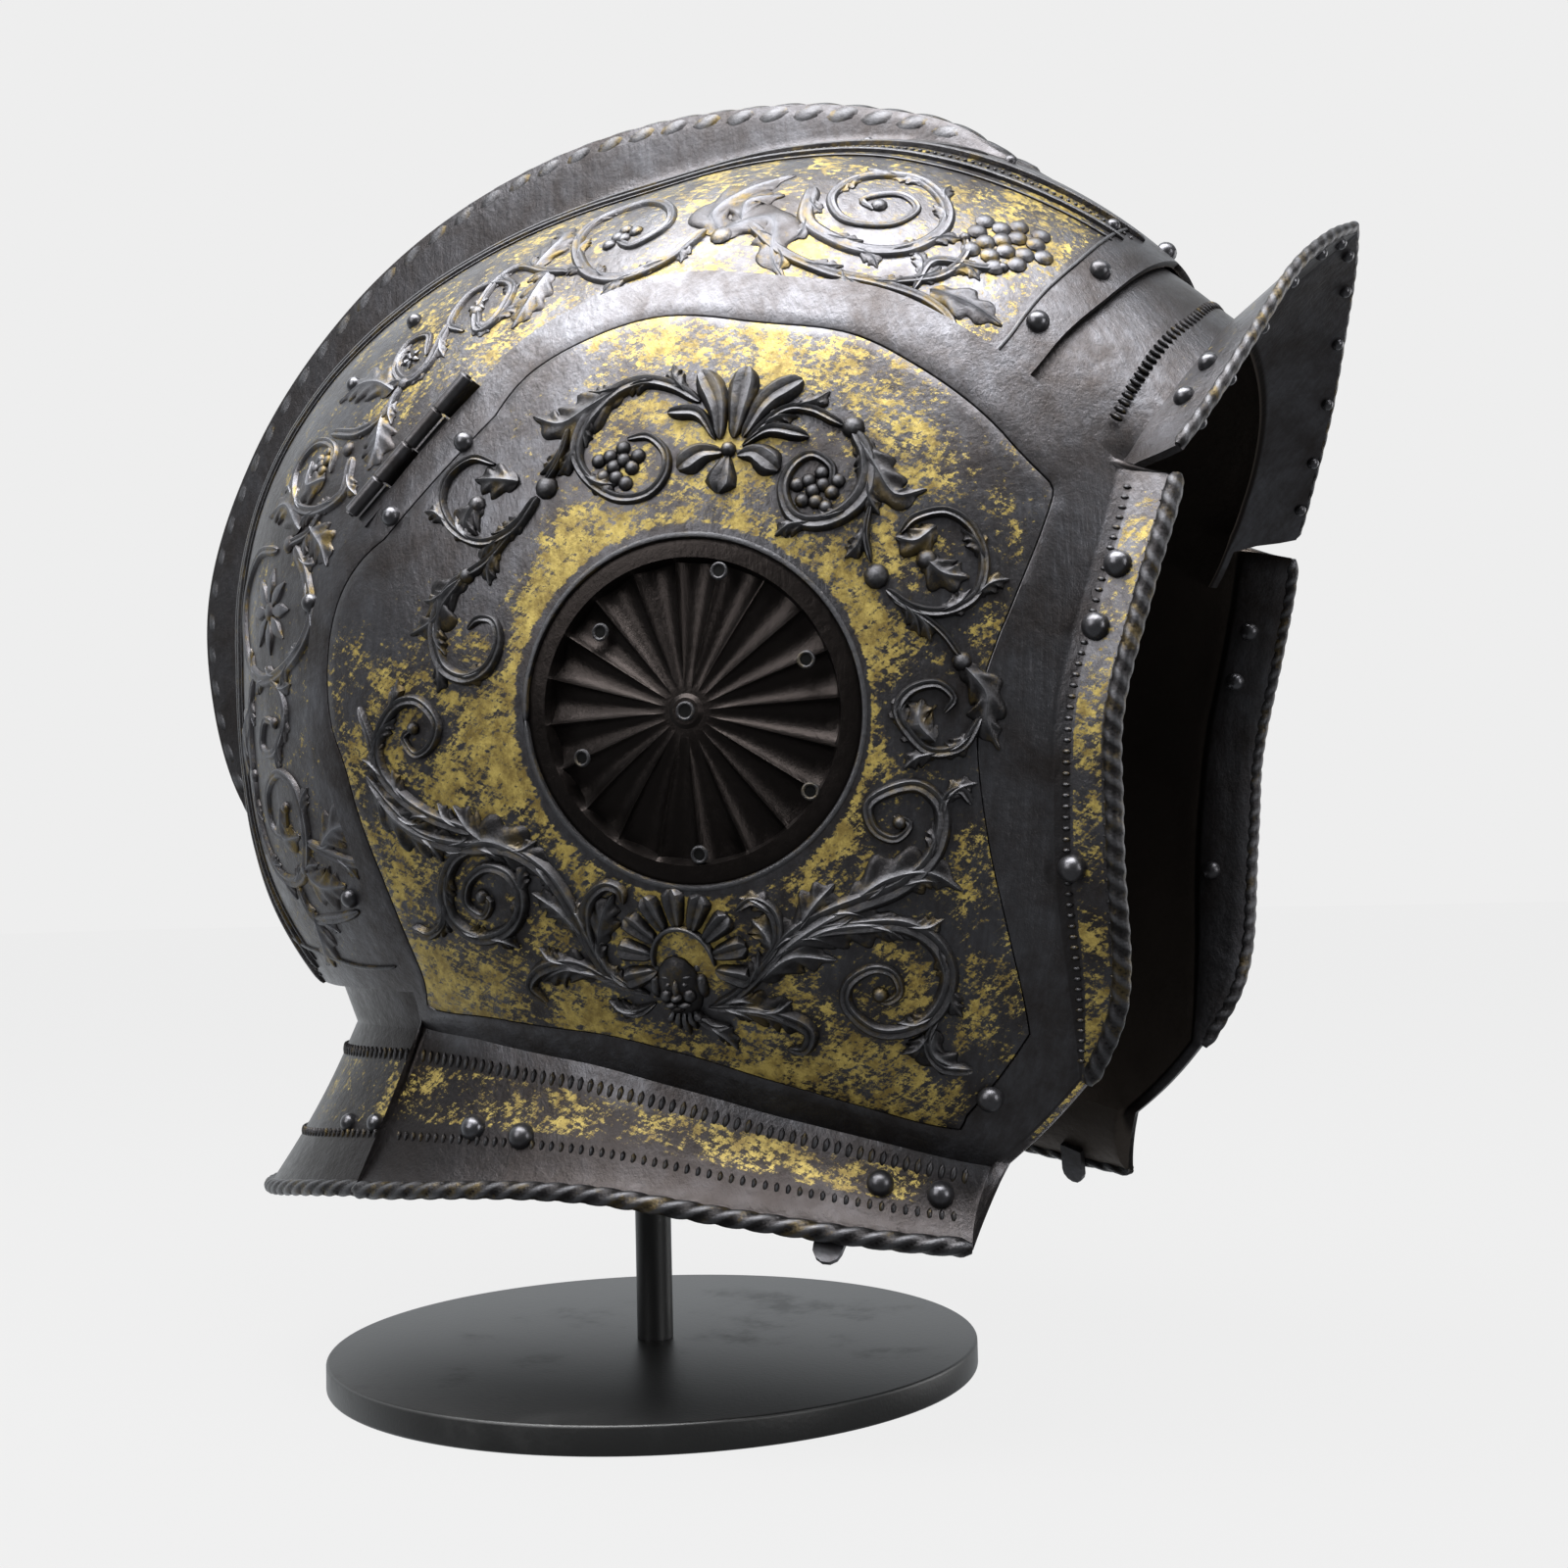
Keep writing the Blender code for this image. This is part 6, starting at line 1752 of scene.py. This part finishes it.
def build_looks(nodes):
    """All visible pieces, riding on the frame's bodies."""
    gilt = gilt_steel()
    chased = chased_steel("chased steel", HOLLOW_SHADE_STEEL, DULL_STEEL, WORN_STEEL, 0.35)
    low_relief = chased_steel("low relief steel", BLACK_STEEL, BLUE_STEEL, BLUE_STEEL, 0.8)
    dark = dark_metal("dark metal", BLACK_STEEL, BLUE_STEEL, 0.34)
    bright = dark_metal("rivet steel", DULL_STEEL, BLUE_STEEL, 0.26)
    # Near-black painted shadow for the plugs inside the roundel's holes
    hole_shadow = dark_metal("hole shadow", (0.004, 0.004, 0.004), (0.01, 0.01, 0.01), 0.6)
    black = stand_black()
    for name, node in nodes.items():
        node.data.materials.clear()
        node.data.materials.append(black if name.startswith("stand") else dark)
    bowl = Maker()
    skull_plate(bowl)
    piece("bowl_plate", bowl, gilt, "helmet", 32.0, ("skull",))
    brow = Maker()
    brow_plate(brow)
    piece("brow_plate", brow, gilt, "helmet", 32.0, ("brow_peak",))
    nape = Maker()
    nape_plate(nape)
    piece("nape_plate", nape, gilt, "helmet", 32.0, ("nape_collar",))
    for side, maker in both_sides(cheek_plate).items():
        piece(side + "_cheek_plate", maker, gilt, side + "_cheek_piece", 32.0, (side + "_cheek",))
    for side, maker in both_sides(cheek_relief).items():
        piece(side + "_cheek_relief", maker, chased, side + "_cheek_piece")
    for side, maker in both_sides(cheek_trim).items():
        piece(side + "_cheek_trim", maker, chased, side + "_cheek_piece")
    for side, maker in both_sides(edge_ropes).items():
        piece(side + "_cheek_rope", maker, chased, side + "_cheek_piece")
    relief = Maker()
    for maker in both_sides(skull_relief).values():
        relief.merge(maker)
    piece("bowl_relief", relief, low_relief, "helmet")
    trim = Maker()
    for maker in both_sides(skull_trim).values():
        trim.merge(maker)
    piece("bowl_trim", trim, chased, "helmet")
    crest = Maker()
    comb_rope(crest)
    piece("comb_rope", crest, chased, "helmet")
    ropes = Maker()
    rows = Maker()
    nape_trim(ropes, rows)
    brow_trim(rows, ropes)
    piece("nape_and_peak_ropes", ropes, chased, "helmet")
    piece("nape_and_brow_rows", rows, chased, "helmet")
    shadow_plugs = Maker()
    rims = Maker()
    holes(shadow_plugs, rims)
    for side, flip in (("right", False), ("left", True)):
        for label, maker, surface in (("hole_shadows", shadow_plugs, hole_shadow), ("pit_rims", rims, chased)):
            copy = Maker()
            copy.merge(maker, flip)
            piece(side + "_roundel_" + label, copy, surface, side + "_cheek_piece")
    rivets(bright)
    for part, maker in zip(("bowl", "cheek"), hinge_barrels()):
        for side, flip in (("right", False), ("left", True)):
            barrels = Maker()
            barrels.merge(maker, flip)
            body = "helmet" if part == "bowl" else side + "_cheek_piece"
            names = [f"{side}_{part}_knuckle_{place}" for place in ("upper", "lower")]
            piece(f"{side}_{part}_hinge_barrels", barrels, dark, body, nodes=names)
    disc = Maker()
    rod = Maker()
    stand(disc, rod)
    piece("stand_disc", disc, black, "helmet", 30.0, ("stand_base",))
    piece("stand_rod", rod, black, "helmet", 30.0, ("stand_post",))


def rivets(surface):
    """Rivet heads, one piece per body, in place of the frame's plain ones."""
    bowl = Maker()
    cheek = Maker()
    right_rivets(bowl, cheek)
    whole = Maker()
    whole.merge(bowl)
    whole.merge(bowl, flip=True)
    angle, tilt, radius = BROW_RIVETS[2]
    rivet_dome(whole, skull_at(angle, tilt), facing(skull_at, np.array([angle]), np.array([tilt]))[0][0], radius)
    names = ["brow_rivet_middle"]
    for side in ("right", "left"):
        names += [f"{side}_skull_rivet_{number}" for number in (1, 2, 3, 4)]
        names += [f"{side}_{kind}_rivet_{number}" for kind in ("brow", "nape", "brow_band") for number in (1, 2)]
    piece("helmet_rivets", whole, surface, "helmet", nodes=names)
    for side, flip in (("right", False), ("left", True)):
        heads = Maker()
        heads.merge(cheek, flip)
        names = [f"{side}_{kind}_rivet_{number}" for kind in ("cheek", "flange") for number in (1, 2, 3)]
        names += [f"{side}_collar_rivet_{number}" for number in (1, 2, 3, 4)]
        piece(side + "_cheek_rivets", heads, surface, side + "_cheek_piece", nodes=names)


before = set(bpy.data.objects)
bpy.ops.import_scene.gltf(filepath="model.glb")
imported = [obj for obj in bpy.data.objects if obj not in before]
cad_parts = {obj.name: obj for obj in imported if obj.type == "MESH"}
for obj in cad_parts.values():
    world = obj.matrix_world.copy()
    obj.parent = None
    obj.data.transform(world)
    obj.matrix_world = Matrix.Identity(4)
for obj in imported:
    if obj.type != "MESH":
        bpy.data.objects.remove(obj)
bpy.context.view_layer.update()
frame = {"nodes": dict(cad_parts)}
build_looks(frame["nodes"])
add_camera()
add_surroundings()
